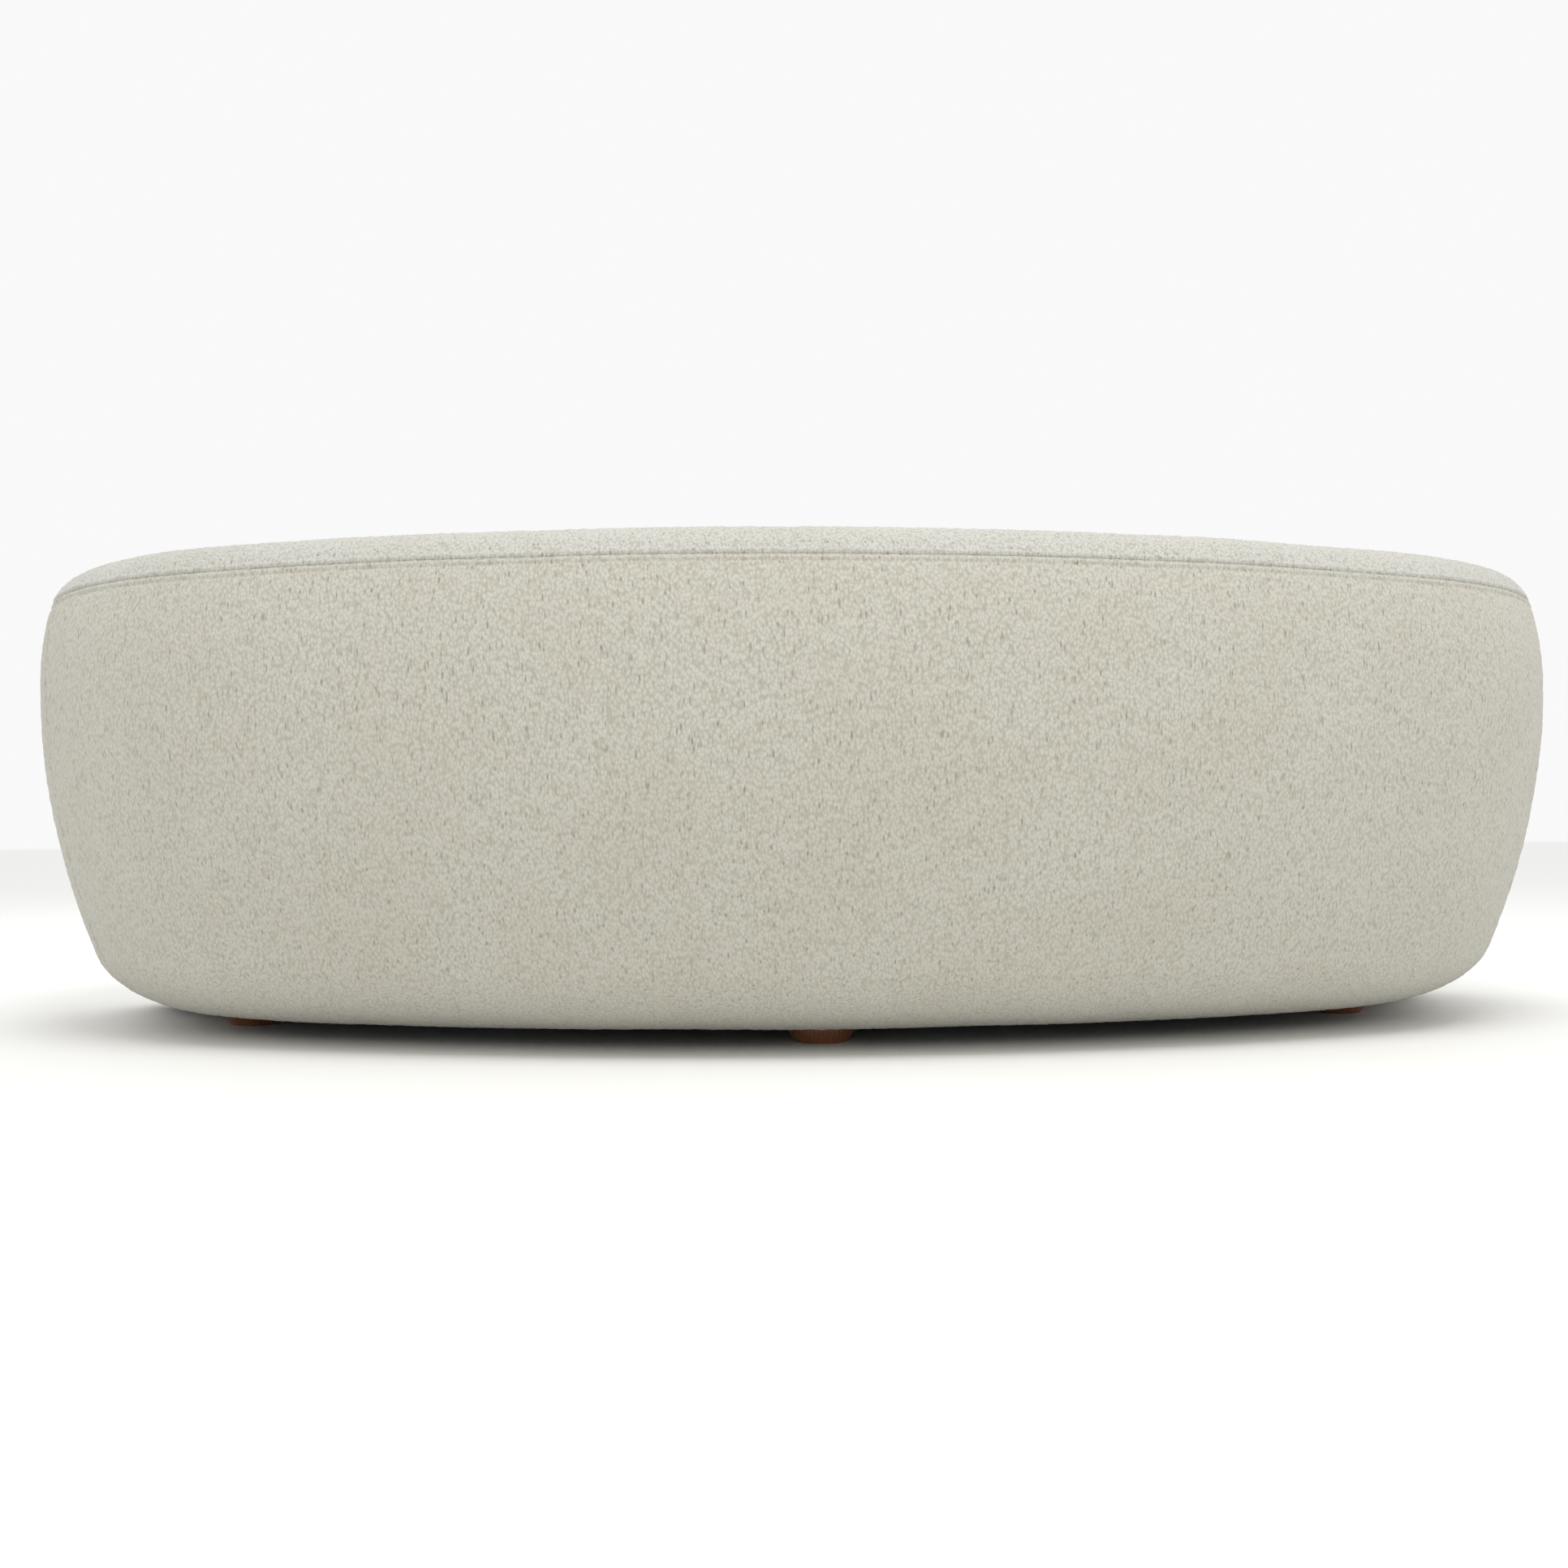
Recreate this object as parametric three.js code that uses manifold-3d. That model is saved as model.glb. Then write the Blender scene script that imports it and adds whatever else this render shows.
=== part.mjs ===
// Curved three-seat sofa with a wrap-around back, pile-fabric covers and turned wooden feet.
//
// Millimetres, +Z up, floor at z = 0, origin under the middle of the sofa, the sitter faces -Y.
// "left" is the sitter's left, which is +X.
//
// The plan is a closed ring of tangent arcs. A station on it holds a point and the direction that
// faces out of the upholstery there. A profile gives, from the hem to the top, how far the surface
// steps in from the ring, so every layer of the wall is the same surface at its own depth.

import * as THREE from "three";
import { mergeVertices } from "three/addons/utils/BufferGeometryUtils.js";
import Module from "manifold-3d";

const wasm = await Module();
wasm.setup();

// ---------------------------------------------------------------- driving dimensions

// Overall sizes.
const WIDTH = 2380;
const DEPTH = 1100;
const HEIGHT = 681;

// Plan shape.
const BACK_RADIUS = 2100;
const END_RADIUS = 580;
const WALL = 215;
const NOSE_SETBACK = 107;
const SEAM_ANGLE = 60;

// Wall profile.
const HEM_Z = 25;
const BELLY_BELOW_TOP = 155;
const LOWER_TUCK = 120;
const UPPER_TUCK = 30;
const FRONT_TUCK_SHARE = 0.3;
const TUCK_EASE_FROM = 75;
const TOP_CORNER = 42;
const TOP_FLAT_EDGE = 12;
const BAND_SEAM = 2;
const HEM_CORNER_RUN = 130;
const HEM_CORNER_RISE = 88;
const HEM_TURN = 20;
const BACK_RAKE = 60;
const RAKE_EASE_FROM = 35;
const RAKE_EASE_TO = 90;

// Covers and padding.
const COVER = 5;
const OUTER_PAD = 24;
const TOP_PAD = 30;
const BORDER_PAD = 45;
const BORDER_PAD_DROP = 7;
const LAYER_GAP = 0.6;
const JOINT_GAP = 0.4;

// Seat.
const DECK_Z = 251;
const DECK_FOAM = 25;
const DECK_EDGE_TURN = 40;
const DECK_EDGE_CORNER = 12;
const DECK_JOINT = 3;
const CUSHION = 160;
const CUSHION_COVER = 4;
const CUSHION_EDGE = 28;
const CUSHION_CROWN = 14;
const CUSHION_CLEARANCE = 4;
const CUSHION_FRONT_INSET = 10;
const CUSHION_CROWN_START = 0.3;
const EAR_ANGLE = 55;
const EAR_MARGIN = 8;
const ZIP_LENGTH = 420;
const ZIP_WIDTH = 5;

// Timber frame.
const RAIL_THICK = 30;
const RAIL_WIDTH = 110;
const RAIL_EDGE_GAP = 2;
const RIB_THICK = 28;
const RIB_TOP_WIDTH = 110;
const BACK_RIB_ANGLE = 14;
const CORNER_RIB_ANGLE = 50;
const ARM_RIB_SETBACK = 15;
const TOP_RAIL_THICK = 22;
const TOP_RAIL_WIDTH = 90;
const TOP_RAIL_EDGE = 8;
const BOARD_THICK = 18;
const SPRING_RAIL_WIDTH = 40;
const SPRING_RAIL_HEIGHT = 45;
const CROSS_RAIL_WIDTH = 70;

// Seat springs.
const SPRING_WIRE = 3.8;
const SPRING_LOOP = 52;
const SPRING_PITCH = 68;
const SPRING_ARCH = 16;
const SPRING_SPACING = 290;
const SPRING_COUNT = 5;

// Feet.
const FOOT_TOP_DIAMETER = 94;
const FOOT_BASE_DIAMETER = 78;
const FOOT_INSET = 53;
const SIDE_FOOT_ANGLE = 66;
const FRONT_FOOT_FROM_NOSE = 185;
const FOOT_CHAMFER = 2;
const BOLT_DIAMETER = 8;
const BOLT_IN_FOOT = 12;
const TNUT_BARREL = 11;
const TNUT_FLANGE = 26;
const TNUT_FLANGE_THICK = 2;
const TNUT_DEPTH = 18;
const DUST_COVER = 1.5;
const DUST_EDGE = 8;

// ---------------------------------------------------------------- sizes that follow from them

const NOSE_RADIUS = WALL / 2;
const BAND_Z = HEIGHT - TOP_CORNER;
const BELLY_Z = HEIGHT - BELLY_BELOW_TOP;
const HEM_RUN = LOWER_TUCK + HEM_CORNER_RUN;
const RAIL_Z = HEM_Z + COVER + JOINT_GAP;
const RAIL_TOP_Z = RAIL_Z + RAIL_THICK;
const TOP_RAIL_TOP_Z = HEIGHT - COVER - TOP_PAD;
const TOP_RAIL_Z = TOP_RAIL_TOP_Z - TOP_RAIL_THICK;
const DECK_FOAM_TOP_Z = DECK_Z - COVER - LAYER_GAP;
const DECK_FOAM_Z = DECK_FOAM_TOP_Z - DECK_FOAM;
const SPRING_Z = DECK_FOAM_Z - SPRING_ARCH - SPRING_WIRE / 2 - JOINT_GAP;
const SEAT_RAIL_TOP_Z = SPRING_Z - SPRING_WIRE / 2 - JOINT_GAP;
const DUST_TOP_Z = HEM_Z - JOINT_GAP;
const FOOT_TOP_Z = DUST_TOP_Z - DUST_COVER - JOINT_GAP;
const BOLT_HOLE = BOLT_DIAMETER + 2 * JOINT_GAP;

// ---------------------------------------------------------------- plan of the sofa

const radians = THREE.MathUtils.degToRad;
const degrees = THREE.MathUtils.radToDeg;
const smooth = THREE.MathUtils.smoothstep;

// Direction in plan at an angle from +Y towards +X.
function heading(angle) {
  return new THREE.Vector2(Math.sin(radians(angle)), Math.cos(radians(angle)));
}

const endAngle = degrees(Math.asin((WIDTH / 2 - END_RADIUS) / (BACK_RADIUS - END_RADIUS)));
const backCentre = new THREE.Vector2(0, DEPTH / 2 - BACK_RADIUS);
const endCentre = backCentre.clone().addScaledVector(heading(endAngle), BACK_RADIUS - END_RADIUS);
const frontLine = -DEPTH / 2 - FRONT_TUCK_SHARE * tuckAt(DECK_Z - DECK_EDGE_CORNER);
const noseY = frontLine + NOSE_RADIUS + NOSE_SETBACK;
const armAngle = degrees(Math.acos((noseY - endCentre.y) / (END_RADIUS - NOSE_RADIUS)));
const noseCentre = endCentre.clone().addScaledVector(heading(armAngle), END_RADIUS - NOSE_RADIUS);
const noseReach = NOSE_RADIUS + NOSE_SETBACK;
const frontRadius = (noseCentre.x ** 2 + noseReach ** 2 - NOSE_RADIUS ** 2) / (2 * NOSE_SETBACK);
const frontCentre = new THREE.Vector2(0, frontRadius + frontLine);
const frontAngle = 180 - degrees(Math.asin(noseCentre.x / (frontRadius - NOSE_RADIUS)));

// How much of the tuck and of the rake a station at this angle takes.
function tuckShare(angle) {
  return 1 - (1 - FRONT_TUCK_SHARE) * smooth(angle, TUCK_EASE_FROM, armAngle);
}

function rakeShare(angle) {
  return 1 - smooth(angle, RAKE_EASE_FROM, RAKE_EASE_TO);
}

// Angles from one to another in equal steps.
function steps(from, to, count) {
  return Array.from({ length: count + 1 }, (_, i) => from + ((to - from) * i) / count);
}

// A run of angles with the end of one stretch shared by the next.
function joined(...runs) {
  return runs.flatMap((run, i) => (i === 0 ? run : run.slice(1)));
}

function station(centre, radius, angle, tuck, rake, facing = 1) {
  const direction = heading(angle);
  return {
    point: centre.clone().addScaledVector(direction, radius),
    out: direction.multiplyScalar(facing),
    tuck,
    rake,
  };
}

// On the outside of the wall, and on the inside of it at the same angle.
function outerStation(angle) {
  const inBack = angle <= endAngle;
  return station(inBack ? backCentre : endCentre, inBack ? BACK_RADIUS : END_RADIUS, angle,
    tuckShare(angle), 0);
}

function innerStation(angle) {
  const inBack = angle <= endAngle;
  const radius = (inBack ? BACK_RADIUS : END_RADIUS) - WALL;
  return station(inBack ? backCentre : endCentre, radius, angle, 0, rakeShare(angle), -1);
}

// Round the front of an arm, from its outside face to its inside face.
function noseStation(angle) {
  const share = 1 - smooth(angle, frontAngle, armAngle + 180);
  return station(noseCentre, NOSE_RADIUS, angle, FRONT_TUCK_SHARE * share, 0);
}

function frontStation(angle) {
  return station(frontCentre, frontRadius, angle, FRONT_TUCK_SHARE, 0);
}

// The same station on the other side of the sofa.
function mirrorStation(place) {
  return {
    ...place,
    point: new THREE.Vector2(-place.point.x, place.point.y),
    out: new THREE.Vector2(-place.out.x, place.out.y),
  };
}

// A half run that starts on the centre line becomes the whole run from -X to +X.
function bothSides(half) {
  return [...half.slice(1).reverse().map(mirrorStation), ...half];
}

// The run with its first station moved along it, so that it starts a gap later.
function trimmed(stations, gap) {
  const [first, second] = stations;
  const along = second.point.clone().sub(first.point).normalize();
  return [{ ...first, point: first.point.clone().addScaledVector(along, gap) }, ...stations.slice(1)];
}

// The same at both ends. A negative gap makes the run longer.
function trimmedEnds(stations, gap) {
  return trimmed(trimmed(stations, gap).reverse(), gap).reverse();
}

const ribAngles = {
  back_rib: BACK_RIB_ANGLE,
  corner_rib: CORNER_RIB_ANGLE,
  arm_rib: armAngle - ARM_RIB_SETBACK,
};
const seatFrontAngle = 180 - degrees(Math.asin((noseCentre.x - NOSE_RADIUS) / frontRadius));
const backAngles = joined(steps(0, endAngle, 4), steps(endAngle, SEAM_ANGLE, 4));
const armAngles = steps(SEAM_ANGLE, armAngle, 6);
const noseOuterAngles = steps(armAngle, frontAngle, 4);
const noseInnerAngles = steps(frontAngle, armAngle + 180, 5);
const seatFrontAngles = steps(180, seatFrontAngle, 4);
const frontAngles = joined(seatFrontAngles, steps(seatFrontAngle, frontAngle, 2));

const outerBack = bothSides(backAngles.map(outerStation));
const innerBack = bothSides(backAngles.map(innerStation));
const outerArm = armAngles.map(outerStation);
const innerArm = armAngles.map(innerStation);
const noseOuter = noseOuterAngles.map(noseStation);
const noseInner = noseInnerAngles.map(noseStation);
const outerWall = bothSides([...backAngles.slice(0, -1), ...armAngles].map(outerStation));
const innerWall = bothSides([...backAngles.slice(0, -1), ...armAngles].map(innerStation));
const nose = [...noseOuter.slice(1), ...noseInner.slice(1, -1)];
const noseEar = noseInnerAngles.filter((angle) => angle > frontAngle + EAR_ANGLE)
  .reverse().slice(1).map(noseStation);
const front = bothSides(frontAngles.map(frontStation));
const seatFront = bothSides(seatFrontAngles.map(frontStation));

// ---------------------------------------------------------------- profile of the wall

// How far the surface is drawn in at a height, apart from the rounded edges.
function tuckAt(z) {
  if (z < BELLY_Z) return LOWER_TUCK * ((BELLY_Z - z) / (BELLY_Z - HEM_Z)) ** 2;
  return UPPER_TUCK * ((z - BELLY_Z) / (HEIGHT - BELLY_Z)) ** 2;
}

// How far the inside of the back comes forward at a height.
function rakeAt(z) {
  return BACK_RAKE * THREE.MathUtils.clamp((BAND_Z - z) / (BAND_Z - DECK_Z), 0, 1);
}

function level(z, extraTuck = 0, corner = 0) {
  return { z, tuck: tuckAt(z) + extraTuck, corner, rake: rakeAt(z) };
}

// The rounded edge at the hem: a quarter ellipse from the underside up to the wall.
function hemLevels(count) {
  return steps(90, 0, count).map((turn) => {
    const z = HEM_Z + HEM_CORNER_RISE * (1 - Math.sin(radians(turn)));
    return level(z, HEM_CORNER_RUN * (1 - Math.cos(radians(turn))));
  });
}

// A rounded upper edge of the given radius that ends at the given height.
function edgeLevels(topZ, radius, count) {
  return steps(0, 90, count).map((turn) => {
    const z = topZ - radius * (1 - Math.sin(radians(turn)));
    return level(z, 0, radius * (1 - Math.cos(radians(turn))));
  });
}

const hemTurn = { ...level(HEM_Z, HEM_CORNER_RUN), corner: HEM_TURN };
const hemTopZ = HEM_Z + HEM_CORNER_RISE;
const faceLevels = joined(steps(hemTopZ, BELLY_Z, 4), steps(BELLY_Z, BAND_Z, 2)).map((z) => level(z));
const wallLevels = [hemTurn, ...hemLevels(4), ...faceLevels.slice(1)];
const insideLevels = [
  level(DECK_Z + JOINT_GAP),
  ...faceLevels.filter((stage) => stage.z > DECK_Z + CUSHION_EDGE),
];
const bandLevels = [
  ...edgeLevels(HEIGHT, TOP_CORNER, 4),
  level(HEIGHT, 0, TOP_CORNER + TOP_FLAT_EDGE),
];
const borderLevel = level((hemTopZ + DECK_Z) / 2);
const borderLevels = [
  hemTurn,
  ...hemLevels(4),
  borderLevel,
  ...edgeLevels(DECK_Z, DECK_EDGE_CORNER, 2),
  level(DECK_Z, 0, DECK_EDGE_CORNER + DECK_EDGE_TURN),
];

function inset(place, stage) {
  return place.tuck * stage.tuck + stage.corner - place.rake * stage.rake;
}

// A point on the surface at a station and level, moved into the upholstery by a depth.
function surfacePoint(place, levels, index, depth) {
  const before = levels[Math.max(index - 1, 0)];
  const after = levels[Math.min(index + 1, levels.length - 1)];
  const rise = new THREE.Vector2(inset(place, after) - inset(place, before), after.z - before.z);
  rise.normalize();
  const run = inset(place, levels[index]) + depth * rise.y;
  const flat = place.point.clone().addScaledVector(place.out, -run);
  return new THREE.Vector3(flat.x, flat.y, levels[index].z - depth * rise.x);
}

// ---------------------------------------------------------------- making closed solids

// A geometry from points and faces, with quads split along their shorter diagonal.
function solidFrom(points, faces) {
  const positions = [];
  const put = (...corners) => corners.forEach((i) => positions.push(...points[i].toArray()));
  faces.forEach(([a, b, c, d]) => {
    if (d === undefined) {
      put(a, b, c);
    } else if (points[a].distanceToSquared(points[c]) <= points[b].distanceToSquared(points[d])) {
      put(a, b, c, a, c, d);
    } else {
      put(a, b, d, b, c, d);
    }
  });
  const geometry = new THREE.BufferGeometry();
  geometry.setAttribute("position", new THREE.Float32BufferAttribute(positions, 3));
  return outward(geometry);
}

function welded(geometry) {
  const bare = geometry.clone();
  bare.deleteAttribute("normal");
  bare.deleteAttribute("uv");
  return mergeVertices(bare, 1e-4);
}

function signedVolume(geometry) {
  const { position } = geometry.attributes;
  const order = geometry.index ? geometry.index.array : position.array.map((_, i) => i);
  const corners = [new THREE.Vector3(), new THREE.Vector3(), new THREE.Vector3()];
  const count = geometry.index ? order.length : position.count;
  let volume = 0;
  for (let i = 0; i < count; i += 3) {
    corners.forEach((corner, k) => corner.fromBufferAttribute(position, order[i + k]));
    volume += corners[0].dot(corners[1].clone().cross(corners[2])) / 6;
  }
  return volume;
}

// The same solid with every face pointing out.
function outward(geometry) {
  const solid = welded(geometry);
  if (signedVolume(solid) > 0) return solid;
  const index = solid.index.array;
  for (let i = 0; i < index.length; i += 3) {
    [index[i + 1], index[i + 2]] = [index[i + 2], index[i + 1]];
  }
  return solid;
}

function mirrored(geometry) {
  return outward(geometry.clone().scale(-1, 1, 1));
}

// Closes a loft of equal rings. Each end ring is capped by strips between its two halves.
function loft(rings) {
  const size = rings[0].length;
  const points = rings.flat();
  const faces = [];
  for (let j = 0; j + 1 < rings.length; j += 1) {
    for (let i = 0; i < size; i += 1) {
      const next = (i + 1) % size;
      faces.push([j * size + i, j * size + next, (j + 1) * size + next, (j + 1) * size + i]);
    }
  }
  faces.push(...stripCap(size, 0).map((face) => face.reverse()));
  faces.push(...stripCap(size, (rings.length - 1) * size));
  return solidFrom(points, faces);
}

// Strips across a ring whose point i lies opposite point size - 1 - i.
function stripCap(size, start) {
  const faces = [];
  const last = size - 1;
  for (let i = 0; i + 1 < last - i; i += 1) {
    const corners = [i, i + 1, last - i - 1, last - i].map((k) => start + k);
    faces.push(i + 1 === last - i - 1 ? [corners[0], corners[1], corners[3]] : corners);
  }
  return faces;
}

// A curved sheet between two depths below the surface, with its four edges closed.
function sheetSolid(stations, levels, outerDepth = 0, innerDepth = COVER) {
  const face = (place, depth) => levels.map((_, j) => surfacePoint(place, levels, j, depth));
  return loft(stations.map((place) => (
    [...face(place, outerDepth), ...face(place, innerDepth).reverse()])));
}

// A solid between two heights inside a plan outline.
function plate(outline, lowZ, highZ) {
  const shape = new THREE.Shape(outline);
  const geometry = new THREE.ExtrudeGeometry(shape, { depth: highZ - lowZ, bevelEnabled: false });
  return outward(geometry.translate(0, 0, lowZ));
}

function box(width, depth, height, x, y, z) {
  return outward(new THREE.BoxGeometry(width, depth, height).translate(x, y, z + height / 2));
}

function rod(diameter, lowZ, highZ, x, y) {
  const geometry = new THREE.CylinderGeometry(diameter / 2, diameter / 2, highZ - lowZ, 16);
  return outward(geometry.rotateX(Math.PI / 2).translate(x, y, (lowZ + highZ) / 2));
}

// A turned piece on a vertical axis, from [radius, height] pairs.
function turned(profile, sides = 24) {
  const points = profile.map(([radius, z]) => new THREE.Vector2(radius, z));
  return outward(new THREE.LatheGeometry(points, sides).rotateX(Math.PI / 2));
}

// ---------------------------------------------------------------- cutting

function toManifold(geometry) {
  const solid = welded(geometry);
  const vertProperties = new Float32Array(solid.attributes.position.array);
  return new wasm.Manifold(new wasm.Mesh({
    numProp: 3,
    vertProperties,
    triVerts: new Uint32Array(solid.index.array),
  }));
}

function fromManifold(solid) {
  const mesh = solid.getMesh();
  const result = new THREE.BufferGeometry();
  result.setAttribute("position", new THREE.BufferAttribute(mesh.vertProperties, 3));
  result.setIndex(new THREE.BufferAttribute(mesh.triVerts, 1));
  return result;
}

// A solid with cutters taken out of it.
function cut(geometry, cutters) {
  return fromManifold(cutters.reduce((solid, cutter) => solid.subtract(toManifold(cutter)),
    toManifold(geometry)));
}

// The part of a solid that lies inside another.
function within(geometry, room) {
  return fromManifold(toManifold(geometry).intersect(toManifold(room)));
}

// ---------------------------------------------------------------- materials and nodes

function finish(color, roughness, metalness = 0) {
  return () => new THREE.MeshStandardMaterial({ color, roughness, metalness });
}

const pileFabric = finish(0xd2cfc4, 0.95);
const bandFabric = finish(0xdcd9cf, 0.95);
const cushionFabric = finish(0xd6d3c8, 0.95);
const liningFabric = finish(0xbdb8aa, 0.9);
const dustFabric = finish(0x26262a, 0.9);
const foam = finish(0xefe2b6, 0.9);
const plywood = finish(0xd0ac78, 0.75);
const walnut = finish(0x4a2c20, 0.45);
const steel = finish(0x9b9ea2, 0.35, 0.9);

const sofa = new THREE.Group();

function node(name, geometry, material, parent = sofa) {
  const mesh = new THREE.Mesh(geometry, material());
  mesh.name = name;
  parent.add(mesh);
  return mesh;
}

// The piece on the sitter's left, and its mirror image on the right.
function pair(name, geometry, material) {
  node(`left_${name}`, geometry, material);
  node(`right_${name}`, mirrored(geometry), material);
}

// ---------------------------------------------------------------- frame

// Distance in from the outline to the outer edge of the bottom rails.
function railEdge(place) {
  return place.tuck * HEM_RUN + COVER + RAIL_EDGE_GAP;
}

function planPoint(place, distance) {
  return place.point.clone().addScaledVector(place.out, -distance);
}

// A curved board laid flat along the stations. near gives the distance in to its first edge.
function flatRail(stations, near, width, lowZ, highZ) {
  const outer = stations.map((place) => planPoint(place, near(place)));
  const inner = stations.map((place) => planPoint(place, near(place) + width));
  return plate([...outer, ...inner.reverse()], lowZ, highZ);
}

function bottomRail(stations, grow = 0) {
  return flatRail(stations, (place) => railEdge(place) - grow, RAIL_WIDTH + 2 * grow,
    RAIL_Z - grow, RAIL_TOP_Z + grow);
}

// The whole outline at the hem, a run in from the outside.
function hemOutline(run) {
  const round = [
    ...outerWall,
    ...noseOuter.slice(1),
    ...front.slice(1, -1).reverse(),
    ...noseOuter.slice(1).reverse().map(mirrorStation),
  ];
  return round.map((place) => planPoint(place, place.tuck * HEM_RUN + run));
}

function addBottomRails(feet) {
  const holes = feet.map(({ x, y }) => rod(TNUT_BARREL + 2 * JOINT_GAP, HEM_Z, RAIL_TOP_Z + 1, x, y));
  const leftHoles = holes.filter((_, i) => feet[i].x > 0);
  const sideRail = bottomRail(trimmed(outerArm, JOINT_GAP));
  const frontClearance = flatRail(trimmedEnds(front, -RAIL_WIDTH), () => -RAIL_WIDTH,
    railEdge(frontStation(180)) + 2 * RAIL_WIDTH + JOINT_GAP, RAIL_Z - 1, RAIL_TOP_Z + 1);
  node("back_bottom_rail", cut(bottomRail(outerBack), holes), plywood);
  pair("bottom_rail", cut(sideRail, [frontClearance, ...leftHoles]), plywood);
  const room = plate(hemOutline(COVER + RAIL_EDGE_GAP), 0, DECK_Z);
  node("front_bottom_rail", cut(within(bottomRail(front), room), holes), plywood);
}

// Outline of a rib in its own upright plane, as distance in from the outline and height.
function ribOutline(place, grow) {
  const skin = (z) => place.tuck * tuckAt(z) + COVER + OUTER_PAD - grow;
  const toe = railEdge(place) + RAIL_EDGE_GAP - grow;
  const heel = railEdge(place) + RAIL_WIDTH - RAIL_EDGE_GAP + grow;
  const topZ = TOP_RAIL_Z - JOINT_GAP + grow;
  const footZ = grow > 0 ? RAIL_Z : RAIL_TOP_Z + JOINT_GAP;
  const kneeZ = RAIL_TOP_Z + HEM_CORNER_RISE;
  const head = skin(topZ) + RIB_TOP_WIDTH + 2 * grow;
  const back = steps(BELLY_Z, kneeZ, 3).map((z) => [skin(z), z]);
  return [
    [toe, footZ],
    [heel, footZ],
    [heel, SEAT_RAIL_TOP_Z + grow],
    [head, SEAT_RAIL_TOP_Z + grow],
    [head, topZ],
    [skin(topZ), topZ],
    ...back,
  ];
}

function rib(angle, grow = 0) {
  const place = outerStation(angle);
  const points = ribOutline(place, grow).map(([run, z]) => new THREE.Vector2(-run, z));
  const thick = RIB_THICK + 2 * grow;
  const geometry = new THREE.ExtrudeGeometry(new THREE.Shape(points), {
    depth: thick,
    bevelEnabled: false,
  });
  const across = new THREE.Vector3(place.out.x, place.out.y, 0);
  const up = new THREE.Vector3(0, 0, 1);
  const turn = new THREE.Matrix4().makeBasis(across, up, across.clone().cross(up));
  geometry.translate(0, 0, -thick / 2).applyMatrix4(turn);
  return outward(geometry.translate(place.point.x, place.point.y, 0));
}

function topRail(stations, grow = 0) {
  const near = (place) => place.tuck * tuckAt(TOP_RAIL_Z) + COVER + OUTER_PAD + TOP_RAIL_EDGE - grow;
  return flatRail(stations, near, TOP_RAIL_WIDTH + 2 * grow, TOP_RAIL_Z - grow,
    TOP_RAIL_TOP_Z + grow);
}

function addRibsAndTopRails() {
  Object.entries(ribAngles).forEach(([name, angle]) => pair(name, rib(angle), plywood));
  node("back_top_rail", topRail(outerBack), plywood);
  pair("arm_top_rail", topRail(trimmed(outerArm, JOINT_GAP)), plywood);
}

// ---------------------------------------------------------------- seat suspension

// Distance in from the front outline to the face of the board behind the front border.
function boardEdge(place) {
  return railEdge(place) + RAIL_EDGE_GAP;
}

function heelEdge(place) {
  return railEdge(place) + RAIL_WIDTH - RAIL_EDGE_GAP + JOINT_GAP;
}

// How far +Y a run in from the back outline lies at a distance from the centre line.
function backRunY(run, x) {
  const side = Math.abs(x);
  const inner = BACK_RADIUS - run;
  if (side <= inner * Math.sin(radians(endAngle))) return backCentre.y + Math.sqrt(inner ** 2 - x ** 2);
  return endCentre.y + Math.sqrt((END_RADIUS - run) ** 2 - (side - endCentre.x) ** 2);
}

function frontRunY(run, x) {
  return frontCentre.y - Math.sqrt((frontRadius - run) ** 2 - x ** 2);
}

// A sinuous spring: one wire bent from side to side, arched up between its two ends.
function spring(x) {
  const start = frontRunY(boardEdge(frontStation(180)) + BOARD_THICK / 2, x);
  const end = backRunY(heelEdge(outerStation(0)) + SPRING_RAIL_WIDTH / 2, x);
  const bends = 4 * Math.round((end - start) / SPRING_PITCH);
  const points = steps(0, 1, bends).map((share, i) => new THREE.Vector3(
    x + ((i % 4 < 2 ? 1 : -1) * SPRING_LOOP) / 2,
    start + (end - start) * share,
    SPRING_Z + SPRING_ARCH * Math.sin(Math.PI * share),
  ));
  const section = new THREE.Shape();
  section.absarc(0, 0, SPRING_WIRE / 2, 0, 2 * Math.PI);
  return outward(new THREE.ExtrudeGeometry(section, {
    extrudePath: new THREE.CatmullRomCurve3(points, false, "centripetal"),
    steps: Math.round(bends * 1.5),
    curveSegments: 3,
    bevelEnabled: false,
  }));
}

function addSeatFrame() {
  const rearY = backRunY(railEdge(outerStation(0)) + RAIL_WIDTH / 2, 0);
  const frontY = frontRunY(railEdge(frontStation(180)) + RAIL_WIDTH / 2, 0);
  const crossRail = box(CROSS_RAIL_WIDTH, rearY - frontY, RAIL_THICK, 0, (rearY + frontY) / 2, RAIL_Z);
  node("front_board", flatRail(seatFront, boardEdge, BOARD_THICK, RAIL_TOP_Z + JOINT_GAP,
    SEAT_RAIL_TOP_Z), plywood);
  node("rear_spring_rail", flatRail(outerBack, heelEdge, SPRING_RAIL_WIDTH,
    SEAT_RAIL_TOP_Z - SPRING_RAIL_HEIGHT, SEAT_RAIL_TOP_Z), plywood);
  node("center_cross_rail", cut(crossRail, [bottomRail(outerBack, JOINT_GAP),
    bottomRail(front, JOINT_GAP)]), plywood);
  for (let i = 0; i < SPRING_COUNT; i += 1) {
    const x = (i - (SPRING_COUNT - 1) / 2) * SPRING_SPACING;
    node(`seat_spring_${i + 1}`, spring(x), steel);
  }
}

// ---------------------------------------------------------------- padding and covers

const skinDepth = COVER + LAYER_GAP;
const padLevels = [...faceLevels.slice(0, -1), ...bandLevels];

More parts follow.
